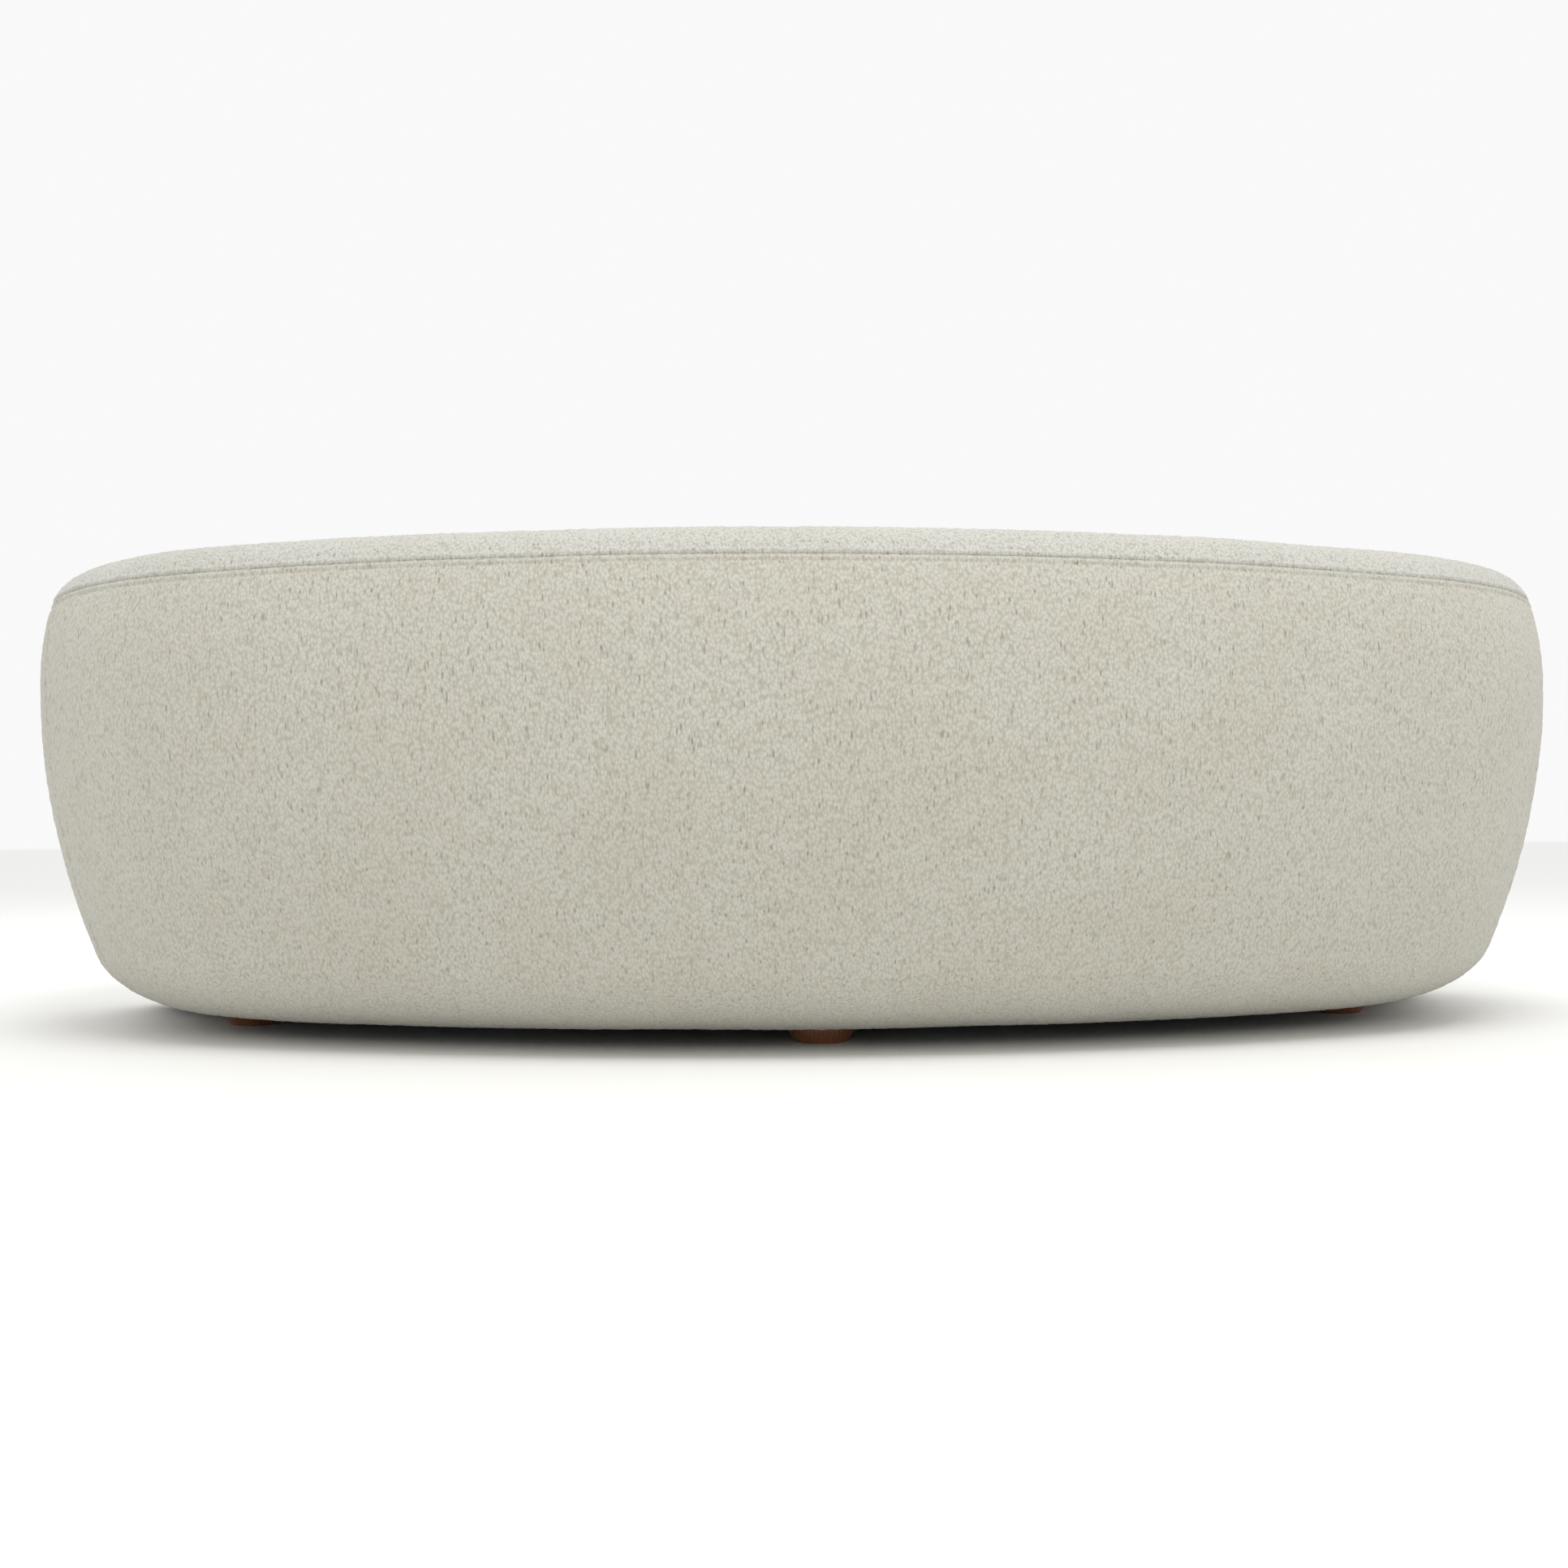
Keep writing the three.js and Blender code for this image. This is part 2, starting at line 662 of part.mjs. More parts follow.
// The whole thickness of the wall inside its covers, over a ring of stations.
function padBlock(stations) {
  return loft(padLevels.map((_, j) => (
    stations.map((place) => surfacePoint(place, padLevels, j, skinDepth)))));
}

function frameCutters() {
  const onLeft = Object.values(ribAngles).map((angle) => rib(angle, JOINT_GAP));
  onLeft.push(topRail(trimmedEnds(outerArm, -JOINT_GAP), JOINT_GAP));
  return [...onLeft, ...onLeft.map(mirrored), topRail(outerBack, JOINT_GAP)];
}

function addWallPadding() {
  const cutters = frameCutters();
  const armRing = [
    ...trimmed(outerArm, JOINT_GAP),
    ...nose,
    ...trimmed(innerArm, JOINT_GAP).reverse(),
  ];
  node("back_foam", cut(padBlock([...outerBack, ...innerBack.slice().reverse()]), cutters), foam);
  pair("arm_foam", cut(padBlock(armRing), cutters), foam);
}

// Panels meet along vertical seams at the seam angle and at the front of each arm.
function addWallCovers() {
  const outsideArm = [...trimmed(outerArm, JOINT_GAP), ...noseOuter.slice(1)];
  const insideArm = [
    ...trimmed(noseInner, JOINT_GAP).slice(0, -1),
    ...trimmed(innerArm, JOINT_GAP).reverse(),
  ];
  node("outer_back_cover", sheetSolid(outerBack, wallLevels), pileFabric);
  pair("outside_arm_cover", sheetSolid(outsideArm, wallLevels), pileFabric);
  node("inside_back_cover", sheetSolid(innerBack, insideLevels), pileFabric);
  pair("inside_arm_cover", sheetSolid(insideArm, insideLevels), pileFabric);
}

// One strip runs over the top of the back and both arms, down to the seam below the edge.
function addTopBand() {
  const levels = [{ ...bandLevels[0], z: BAND_Z + BAND_SEAM }, ...bandLevels.slice(1)];
  const rightNose = nose.slice().reverse().map(mirrorStation);
  const half = nose.length / 2;
  const ring = [
    ...rightNose.slice(half),
    ...outerWall,
    ...nose,
    ...innerWall.slice().reverse(),
    ...rightNose.slice(0, half),
  ];
  const ringsAt = (depth) => levels.map((_, j) => (
    ring.map((place) => surfacePoint(place, levels, j, depth))));
  node("top_band_cover", loft([...ringsAt(COVER).reverse(), ...ringsAt(0)]), bandFabric);
}

// ---------------------------------------------------------------- seat

// The room that an arm's padding takes up, with half a layer's gap round it.
function armClearance() {
  const ring = [...outerArm, ...nose, ...innerArm.slice().reverse()];
  return loft(padLevels.map((_, j) => (
    ring.map((place) => surfacePoint(place, padLevels, j, COVER + LAYER_GAP / 2)))));
}

// The front border runs from under the hem to the front edge of the deck, between the arms.
function addFrontBorder() {
  const arm = armClearance();
  const cover = sheetSolid(trimmedEnds(front, JOINT_GAP), borderLevels);
  const foamLevels = [level(hemTopZ), borderLevel, level(DECK_FOAM_Z - BORDER_PAD_DROP)];
  node("front_border_cover", cut(cover, [arm, mirrored(arm)]), pileFabric);
  node("front_border_foam", sheetSolid(seatFront, foamLevels, skinDepth, skinDepth + BORDER_PAD),
    foam);
}

// How far in a wall stands where it is fullest, between the deck and the belly.
function fullest(place) {
  return Math.min(inset(place, level(DECK_Z)), inset(place, level(BELLY_Z)));
}

// Half of the seat's outline, from the middle of the back round to the middle of the front.
function seatHalf(clearance, frontInset) {
  const walls = [...innerWall.filter((place) => place.point.x > -1), ...noseEar];
  const frontRun = inset(frontStation(180), level(DECK_Z)) + frontInset + EAR_MARGIN;
  const sides = walls.map((place) => planPoint(place, fullest(place) - clearance))
    .filter((point) => point.y > frontRunY(frontRun, point.x));
  const edge = seatFront.filter((place) => place.point.x > -1).reverse();
  return [...sides, ...edge.map((place) => planPoint(place, inset(place, level(DECK_Z)) + frontInset))];
}

function addDeck() {
  const whole = (half) => [
    ...half,
    ...half.slice(1, -1).reverse().map((point) => new THREE.Vector2(-point.x, point.y)),
  ];
  const foamOutline = whole(seatHalf(LAYER_GAP, COVER + DECK_EDGE_CORNER));
  const coverInset = DECK_EDGE_CORNER + DECK_EDGE_TURN + DECK_JOINT;
  node("deck_foam", plate(foamOutline, DECK_FOAM_Z, DECK_FOAM_TOP_Z), foam);
  node("deck_cover", plate(whole(seatHalf(LAYER_GAP, coverInset)), DECK_Z - COVER, DECK_Z),
    liningFabric);
}

// An outline moved in by a distance, with its corners kept.
function insetOutline(points, distance) {
  const count = points.length;
  return points.map((point, i) => {
    const before = point.clone().sub(points[(i + count - 1) % count]).normalize();
    const after = points[(i + 1) % count].clone().sub(point).normalize();
    const mitre = new THREE.Vector2(before.y + after.y, -before.x - after.x).normalize();
    const spread = mitre.x * after.y - mitre.y * after.x;
    return point.clone().addScaledVector(mitre, distance / spread);
  });
}

// A seat cushion with rounded edges and a crowned top, drawn in all round by a depth.
function cushionSolid(depth) {
  const half = seatHalf(CUSHION_CLEARANCE, CUSHION_FRONT_INSET);
  const outline = half.map((point) => (
    new THREE.Vector2(Math.max(point.x, CUSHION_CLEARANCE / 2), point.y)));
  const lowZ = DECK_Z + LAYER_GAP;
  const topZ = lowZ + CUSHION;
  const ring = (run, z) => insetOutline(outline, run + depth)
    .map((point) => new THREE.Vector3(point.x, point.y, z));
  const rim = ring(CUSHION_EDGE, topZ - depth);
  const middle = rim.reduce((sum, point) => sum.add(point), new THREE.Vector3())
    .divideScalar(rim.length);
  const crown = rim.map((point) => point.clone().lerp(middle, CUSHION_CROWN_START)
    .add(new THREE.Vector3(0, 0, CUSHION_CROWN)));
  return loft([
    ring(CUSHION_EDGE / 3, lowZ + depth),
    ring(0, lowZ + CUSHION_EDGE),
    ring(0, topZ - CUSHION_EDGE),
    ring(CUSHION_EDGE / 3, topZ - depth - CUSHION_EDGE / 3),
    rim,
    crown,
  ]);
}

// The zip opening runs along the back of the cushion, halfway up.
function zipOpening() {
  const run = WALL + BACK_RAKE + CUSHION_CLEARANCE;
  const x = (noseCentre.x - NOSE_RADIUS) / 2;
  const turn = -Math.asin(x / (BACK_RADIUS - run));
  const opening = new THREE.BoxGeometry(ZIP_LENGTH, 2 * CUSHION_EDGE, ZIP_WIDTH).rotateZ(turn);
  return outward(opening.translate(x, backRunY(run, x), DECK_Z + CUSHION / 2));
}

function addCushions() {
  const cover = cut(cushionSolid(0), [cushionSolid(CUSHION_COVER), zipOpening()]);
  pair("cushion_cover", cover, cushionFabric);
  pair("cushion_core", cushionSolid(CUSHION_COVER + LAYER_GAP), foam);
}

// ---------------------------------------------------------------- feet and underside

function footPlaces() {
  const run = (place) => railEdge(place) + FOOT_INSET;
  const back = [0, SIDE_FOOT_ANGLE].map((angle) => planPoint(outerStation(angle),
    run(outerStation(angle))));
  const frontRun = run(frontStation(180));
  const frontX = noseCentre.x - FRONT_FOOT_FROM_NOSE;
  const ahead = [0, frontX].map((x) => new THREE.Vector2(x, frontRunY(frontRun, x)));
  const right = (point) => new THREE.Vector2(-point.x, point.y);
  return {
    back_center: back[0],
    back_left: back[1],
    back_right: right(back[1]),
    front_center: ahead[0],
    front_left: ahead[1],
    front_right: right(ahead[1]),
  };
}

// A low round foot, turned with a soft shoulder and a taper, bored for its bolt.
function footGeometry() {
  const top = FOOT_TOP_DIAMETER / 2;
  const base = FOOT_BASE_DIAMETER / 2;
  const bore = FOOT_TOP_Z - BOLT_IN_FOOT - JOINT_GAP;
  return turned([
    [0, 0],
    [base - FOOT_CHAMFER, 0],
    [base, FOOT_CHAMFER],
    [(top + 2 * base) / 3 + FOOT_CHAMFER, FOOT_TOP_Z / 3],
    [top - FOOT_CHAMFER / 2, (2 * FOOT_TOP_Z) / 3],
    [top, FOOT_TOP_Z - 2 * FOOT_CHAMFER],
    [top - FOOT_CHAMFER, FOOT_TOP_Z],
    [BOLT_HOLE / 2, FOOT_TOP_Z],
    [BOLT_HOLE / 2, bore],
    [0, bore],
  ], 20);
}

// A hanger bolt: its lower half is in the foot and its upper half in the nut of the rail.
function boltGeometry() {
  const radius = BOLT_DIAMETER / 2;
  const low = FOOT_TOP_Z - BOLT_IN_FOOT;
  const high = RAIL_TOP_Z - JOINT_GAP;
  return turned([[0, low], [radius / 2, low], [radius, low + radius], [radius, high - 1],
    [radius - 1, high], [0, high]], 12);
}

// A flanged nut let into the rail from above.
function tnutGeometry() {
  const bore = BOLT_HOLE / 2;
  const barrel = TNUT_BARREL / 2;
  const flange = RAIL_TOP_Z + JOINT_GAP;
  const foot = RAIL_TOP_Z - TNUT_DEPTH;
  return turned([[bore, foot], [barrel, foot], [barrel, flange], [TNUT_FLANGE / 2, flange],
    [TNUT_FLANGE / 2, flange + TNUT_FLANGE_THICK], [bore, flange + TNUT_FLANGE_THICK],
    [bore, foot]], 12);
}

function addFeet(places) {
  Object.entries(places).forEach(([name, { x, y }]) => {
    const group = new THREE.Group();
    group.position.set(x, y, 0);
    node(`${name}_foot`, footGeometry(), walnut, group);
    node(`${name}_bolt`, boltGeometry(), steel, group);
    node(`${name}_tnut`, tnutGeometry(), steel, group);
    sofa.add(group);
  });
}

function addDustCover(feet) {
  const sheet = plate(hemOutline(DUST_EDGE), DUST_TOP_Z - DUST_COVER, DUST_TOP_Z);
  node("dust_cover", cut(sheet, feet.map(({ x, y }) => rod(BOLT_HOLE, 0, HEM_Z, x, y))), dustFabric);
}

// ---------------------------------------------------------------- the sofa

const places = footPlaces();
const feet = Object.values(places);
addBottomRails(feet);
addRibsAndTopRails();
addSeatFrame();
addWallPadding();
addWallCovers();
addTopBand();
addFrontBorder();
addDeck();
addCushions();
addFeet(places);
addDustCover(feet);

export default sofa;
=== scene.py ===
"""Curved sofa with a wrap-around back, pile-fabric covers and turned wooden feet.

Metres, +Z up, floor at z = 0, origin under the middle of the sofa. The sitter faces -Y, so the
back of the sofa faces +Y. "left" is the sitter's left, which is +X.
"""

from __future__ import annotations

import logging
import math
from dataclasses import dataclass
from enum import Enum
from typing import Any, Callable, Self

import bmesh
import bpy
import numpy as np
from bpy.types import ID, Material, Node, NodeSocket, NodeTree, Object
from mathutils import Matrix, Vector, noise

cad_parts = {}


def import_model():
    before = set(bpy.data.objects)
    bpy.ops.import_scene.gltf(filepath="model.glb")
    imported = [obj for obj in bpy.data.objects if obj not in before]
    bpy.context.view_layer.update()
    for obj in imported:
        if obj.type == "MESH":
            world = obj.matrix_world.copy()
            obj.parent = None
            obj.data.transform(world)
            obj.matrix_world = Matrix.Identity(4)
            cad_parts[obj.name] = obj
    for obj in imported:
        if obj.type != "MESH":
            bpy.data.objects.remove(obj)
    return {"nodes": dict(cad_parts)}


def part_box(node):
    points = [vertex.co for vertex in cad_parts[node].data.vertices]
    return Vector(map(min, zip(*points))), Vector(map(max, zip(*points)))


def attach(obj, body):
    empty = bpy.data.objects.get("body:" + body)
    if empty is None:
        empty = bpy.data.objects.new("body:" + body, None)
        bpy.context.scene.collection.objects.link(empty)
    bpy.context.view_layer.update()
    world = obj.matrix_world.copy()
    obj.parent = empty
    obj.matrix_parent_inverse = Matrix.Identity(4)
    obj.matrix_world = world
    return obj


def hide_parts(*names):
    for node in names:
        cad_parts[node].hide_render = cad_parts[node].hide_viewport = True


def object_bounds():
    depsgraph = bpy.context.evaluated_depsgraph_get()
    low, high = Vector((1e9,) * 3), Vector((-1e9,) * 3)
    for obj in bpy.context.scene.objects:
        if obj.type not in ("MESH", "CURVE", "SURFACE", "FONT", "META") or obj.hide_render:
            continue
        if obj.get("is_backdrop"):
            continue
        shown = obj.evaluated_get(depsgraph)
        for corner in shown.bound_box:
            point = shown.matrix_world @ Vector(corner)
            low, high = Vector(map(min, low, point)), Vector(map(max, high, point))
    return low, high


log = logging.getLogger("sofa")

# How many fine steps of a cloth's outer face meet one coarse step of its inner face.
STRIDE = 6
# How many stations measure the length of a run.
DENSE = 1201
# Points of a cloth that are nearer than this are one point, in metres.
WELD = 1e-4
# A wave texture of scale 1 repeats every 0.314 m.
WAVE_LENGTH = 0.314


# ------------------------------------------------------------------ colours and nodes


def linear(code: str) -> tuple[float, float, float, float]:
    """Turns an sRGB hex colour into linear RGBA.

    Args:
        code: The colour as "#rrggbb".

    Returns:
        Linear red, green and blue, and an alpha of 1.
    """
    shares = [int(code[i : i + 2], 16) / 255 for i in (1, 3, 5)]
    red, green, blue = [s / 12.92 if s <= 0.04045 else ((s + 0.055) / 1.055) ** 2.4 for s in shares]
    return red, green, blue, 1.0


def add(tree: NodeTree, kind: str, settings: dict[Any, Any], links: dict[Any, NodeSocket]) -> Node:
    """Adds a node with its settings and links.

    Args:
        tree: The node tree that the node joins.
        kind: The node's type, without ShaderNode.
        settings: Values by property name, or by the name or number of an input.
        links: Output sockets by the name or number of the input that each feeds.

    Returns:
        The new node.
    """
    node = tree.nodes.new(f"ShaderNode{kind}")
    for name, value in settings.items():
        if isinstance(name, str) and hasattr(node, name):
            setattr(node, name, value)
        else:
            node.inputs[name].default_value = value
    for name, source in links.items():
        tree.links.new(source, node.inputs[name])
    return node


@dataclass(frozen=True)
class Finish:
    """A finish that makes one node material, the first time that a piece asks for it."""

    name: str

    def material(self) -> Material:
        """Returns the finish's material."""
        found = bpy.data.materials.get(self.name)
        if found is not None:
            return found
        made = bpy.data.materials.new(self.name)
        made.use_nodes = True
        made.node_tree.nodes.clear()
        surface = self.shade(made.node_tree)
        add(made.node_tree, "OutputMaterial", {}, {"Surface": surface.outputs["BSDF"]})
        return made

    def shade(self, tree: NodeTree) -> Node:
        """Adds the finish's nodes and returns its shader."""
        raise NotImplementedError

    @staticmethod
    def surfaced(
        tree: NodeTree,
        links: dict[Any, NodeSocket],
        height: NodeSocket,
        bump: dict[Any, Any],
        settings: dict[Any, Any],
    ) -> Node:
        """Ends a finish with its relief and its shader.

        Args:
            tree: The finish's node tree.
            links: The shader's links, apart from the relief.
            height: The height of the relief.
            bump: The relief's settings.
            settings: The shader's settings.

        Returns:
            The shader.
        """
        relief = add(tree, "Bump", bump, {"Height": height})
        return add(tree, "BsdfPrincipled", settings, {**links, "Normal": relief.outputs["Normal"]})


@dataclass(frozen=True)
class TeddyPile(Finish):
    """Curled polyester pile on a knitted ground, as on teddy cloth.

    The curls stand close together as small soft pebbles, with painted shade in the gaps between
    them. Here and there the pile parts along an upright row, where painted shade draws a short dark
    line, and the nap turns a little from place to place. Painted shade also darkens the sewn lines.
    """

    curl: str = "#c6c3b9"
    # Painted shade in the gaps between the curls.
    curl_hollow_shade: str = "#97937f"
    # Painted shade in the partings and along the sewn lines.
    crevice_shade: str = "#7f7a6a"
    nap_shade: str = "#c0bcb0"
    curl_size: float = 0.0038
    curl_squat: float = 0.62
    fibre_size: float = 0.0013
    wander_size: float = 0.007
    wander: float = 0.0022
    row_width: float = 0.0044
    row_height: float = 0.022
    patch_size: float = 0.16
    bump_height: float = 0.0022

    def shade(self, tree: NodeTree) -> Node:
        """Adds the curls, the fibres, the partings and the nap."""
        place = add(tree, "TexCoord", {}, {}).outputs["Object"]
        wander = add(
            tree, "TexNoise", {"Scale": 1 / self.wander_size, "Detail": 2.0},
            {"Vector": place},
        )
        bent = add(
            tree, "VectorMath", {"operation": "MULTIPLY_ADD", 1: (self.wander,) * 3},
            {0: wander.outputs["Color"], 2: place},
        )
        rows = add(
            tree, "Mapping",
            {"Scale": (1 / self.row_width, 1 / self.row_width, 1 / self.row_height)},
            {"Vector": bent.outputs["Vector"]},
        )
        tall = add(
            tree, "Mapping",
            {"Scale": (1 / self.curl_size, 1 / self.curl_size, self.curl_squat / self.curl_size)},
            {"Vector": bent.outputs["Vector"]},
        )
        curls = add(tree, "TexVoronoi", {"Scale": 1.0}, {"Vector": tall.outputs["Vector"]})
        fibres = add(
            tree, "TexNoise", {"Scale": 1 / self.fibre_size, "Detail": 2.0, "Roughness": 0.6},
            {"Vector": place},
        )
        # Each cell of this pattern is a long upright one, and the pile parts near its middle.
        row_cells = add(tree, "TexVoronoi", {"Scale": 1.0}, {"Vector": rows.outputs["Vector"]})
        open_row = add(
            tree, "MapRange",
            {"From Min": 0.06, "From Max": 0.34, "To Min": 1.0, "To Max": 0.0},
            {"Value": row_cells.outputs["Distance"]},
        )
        some = add(
            tree, "MapRange", {"From Min": 0.15, "From Max": 0.85, "To Max": 0.75},
            {"Value": row_cells.outputs["Color"]},
        )
        partings = add(
            tree, "Math", {"operation": "MULTIPLY"},
            {0: open_row.outputs["Result"], 1: some.outputs["Result"]},
        )
        pebbles = add(
            tree, "Math", {"operation": "MULTIPLY_ADD", 1: 0.25},
            {0: fibres.outputs["Fac"], 2: curls.outputs["Distance"]},
        )
        height = add(
            tree, "Math", {"operation": "MULTIPLY_ADD", 1: 0.9},
            {0: partings.outputs["Value"], 2: pebbles.outputs["Value"]},
        )
        patches = add(
            tree, "TexNoise", {"Scale": 1 / self.patch_size, "Detail": 3.0, "Roughness": 0.5},
            {"Vector": place},
        )
        patch_share = add(
            tree, "MapRange", {"From Min": 0.35, "From Max": 0.65, "To Max": 0.5},
            {"Value": patches.outputs["Fac"]},
        )
        napped = add(
            tree, "Mix",
            {"data_type": "RGBA", 6: linear(self.curl), 7: linear(self.nap_shade)},
            {0: patch_share.outputs["Result"]},
        )
        # How much painted shade darkens the gaps between the curls.
        curl_hollow_shade_share = add(
            tree, "MapRange", {"From Min": 0.40, "From Max": 0.95, "To Max": 0.5},
            {"Value": pebbles.outputs["Value"]},
        )
        # The seam attribute holds the painted shade along the sewn lines.
        seam = add(tree, "Attribute", {"attribute_name": "seam"}, {})
        # Painted shade darkens the gaps between the curls first, then the partings and then the sewn
        # lines.
        painted_shades = (
            (self.curl_hollow_shade, curl_hollow_shade_share.outputs["Result"]),
            (self.crevice_shade, partings.outputs["Value"]),
            (self.crevice_shade, seam.outputs["Fac"]),
        )
        colour = napped.outputs[2]
        for code, share in painted_shades:
            mixed = add(tree, "Mix", {"data_type": "RGBA", 7: linear(code)}, {0: share, 6: colour})
            colour = mixed.outputs[2]
        # The height grows towards the gaps between the curls, so the bump is turned over.
        return self.surfaced(
            tree, {"Base Color": colour}, height.outputs["Value"],
            {"invert": True, "Strength": 0.75, "Distance": self.bump_height},
            {"Roughness": 0.95, "Specular IOR Level": 0.2, "Sheen Weight": 0.25, "Sheen Roughness": 0.6},
        )


# ------------------------------------------------------------------ plan and profile


def ease(value: np.ndarray, low: float, high: float) -> np.ndarray:
    """Goes smoothly from 0 at low to 1 at high."""
    share = np.clip((value - low) / (high - low), 0, 1)
    return share * share * (3 - 2 * share)


def heading(angle: np.ndarray) -> np.ndarray:
    """Returns directions in plan at angles from +Y towards +X."""
    return np.stack([np.sin(angle), np.cos(angle)], -1)


def lengths(points: np.ndarray) -> np.ndarray:
    """Returns how far along a line of points each point lies."""
    steps = np.linalg.norm(np.diff(points, axis=0), axis=1)
    return np.concatenate([[0.0], np.cumsum(steps)])


def marks(length: float, step: float, fine: float, reach: float, start: bool, end: bool) -> np.ndarray:
    """Spaces marks along a length, closer together near sewn ends.

    Args:
        length: The length to divide.
        step: The usual distance between marks.
        fine: The distance between marks near a sewn end.
        reach: How far from a sewn end the marks are fine.
        start: Whether the start is sewn.
        end: Whether the end is sewn.

    Returns:
        The marks from 0 to the length, a multiple of STRIDE in steps.
    """
    fine_marks = np.linspace(0, reach, max(1, round(reach / fine)) + 1)[:-1]
    low = fine_marks if start else fine_marks[:0]
    high = (length - fine_marks)[::-1] if end else fine_marks[:0]
    middle = (reach if start else 0.0, length - (reach if end else 0.0))
    count = max(2, round((middle[1] - middle[0]) / step))
    count += -(len(low) + len(high) + count) % STRIDE
    return np.concatenate([low, np.linspace(*middle, count + 1), high])


class Strip:
    """Arrays that have one entry for each step along a line."""

    def parts(self) -> tuple[np.ndarray, ...]:
        """Returns the arrays, in the order of the fields."""
        return tuple(vars(self).values())

    def joined(self, after: Self) -> Self:
        """Returns these steps and others that start where they end."""
        pairs = zip(self.parts(), after.parts())
        return type(self)(*[np.concatenate([mine, theirs[1:]]) for mine, theirs in pairs])


@dataclass
class Run(Strip):
    """Stations along the plan outline.

    Attributes:
        point: Where each station is in plan.
        out: The direction out of the upholstery there.
        tuck: The station's share of the profile's tuck.
        rake: The station's share of the profile's rake.
    """

    point: np.ndarray
    out: np.ndarray
    tuck: np.ndarray
    rake: np.ndarray

    def mirrored(self) -> Run:
        """Returns the run on the other side of the sofa, in the other order."""
        flip = np.array([-1.0, 1.0])
        back = self.backwards()
        return Run(back.point * flip, back.out * flip, back.tuck, back.rake)

    def backwards(self) -> Run:
        """Returns the same stations in the other order."""
        return Run(*[part[::-1] for part in self.parts()])


@dataclass
class Profile(Strip):
    """Levels up the wall.

    Attributes:
        z: Each level's height.
        tuck: How far a station with a full share of tuck is drawn in there.
        corner: How far every station is drawn in there.
        rake: How far a station with a full share of rake stands out there.
    """

    z: np.ndarray
    tuck: np.ndarray
    corner: np.ndarray
    rake: np.ndarray

    def along(self) -> np.ndarray:
        """Returns how far along the profile each level lies."""
        return lengths(np.stack([self.tuck + self.corner, self.z], -1))

    def at(self, places: np.ndarray) -> Profile:
        """Returns the profile's levels at distances along it."""
        along = self.along()
        return Profile(*[np.interp(places, along, part) for part in self.parts()])


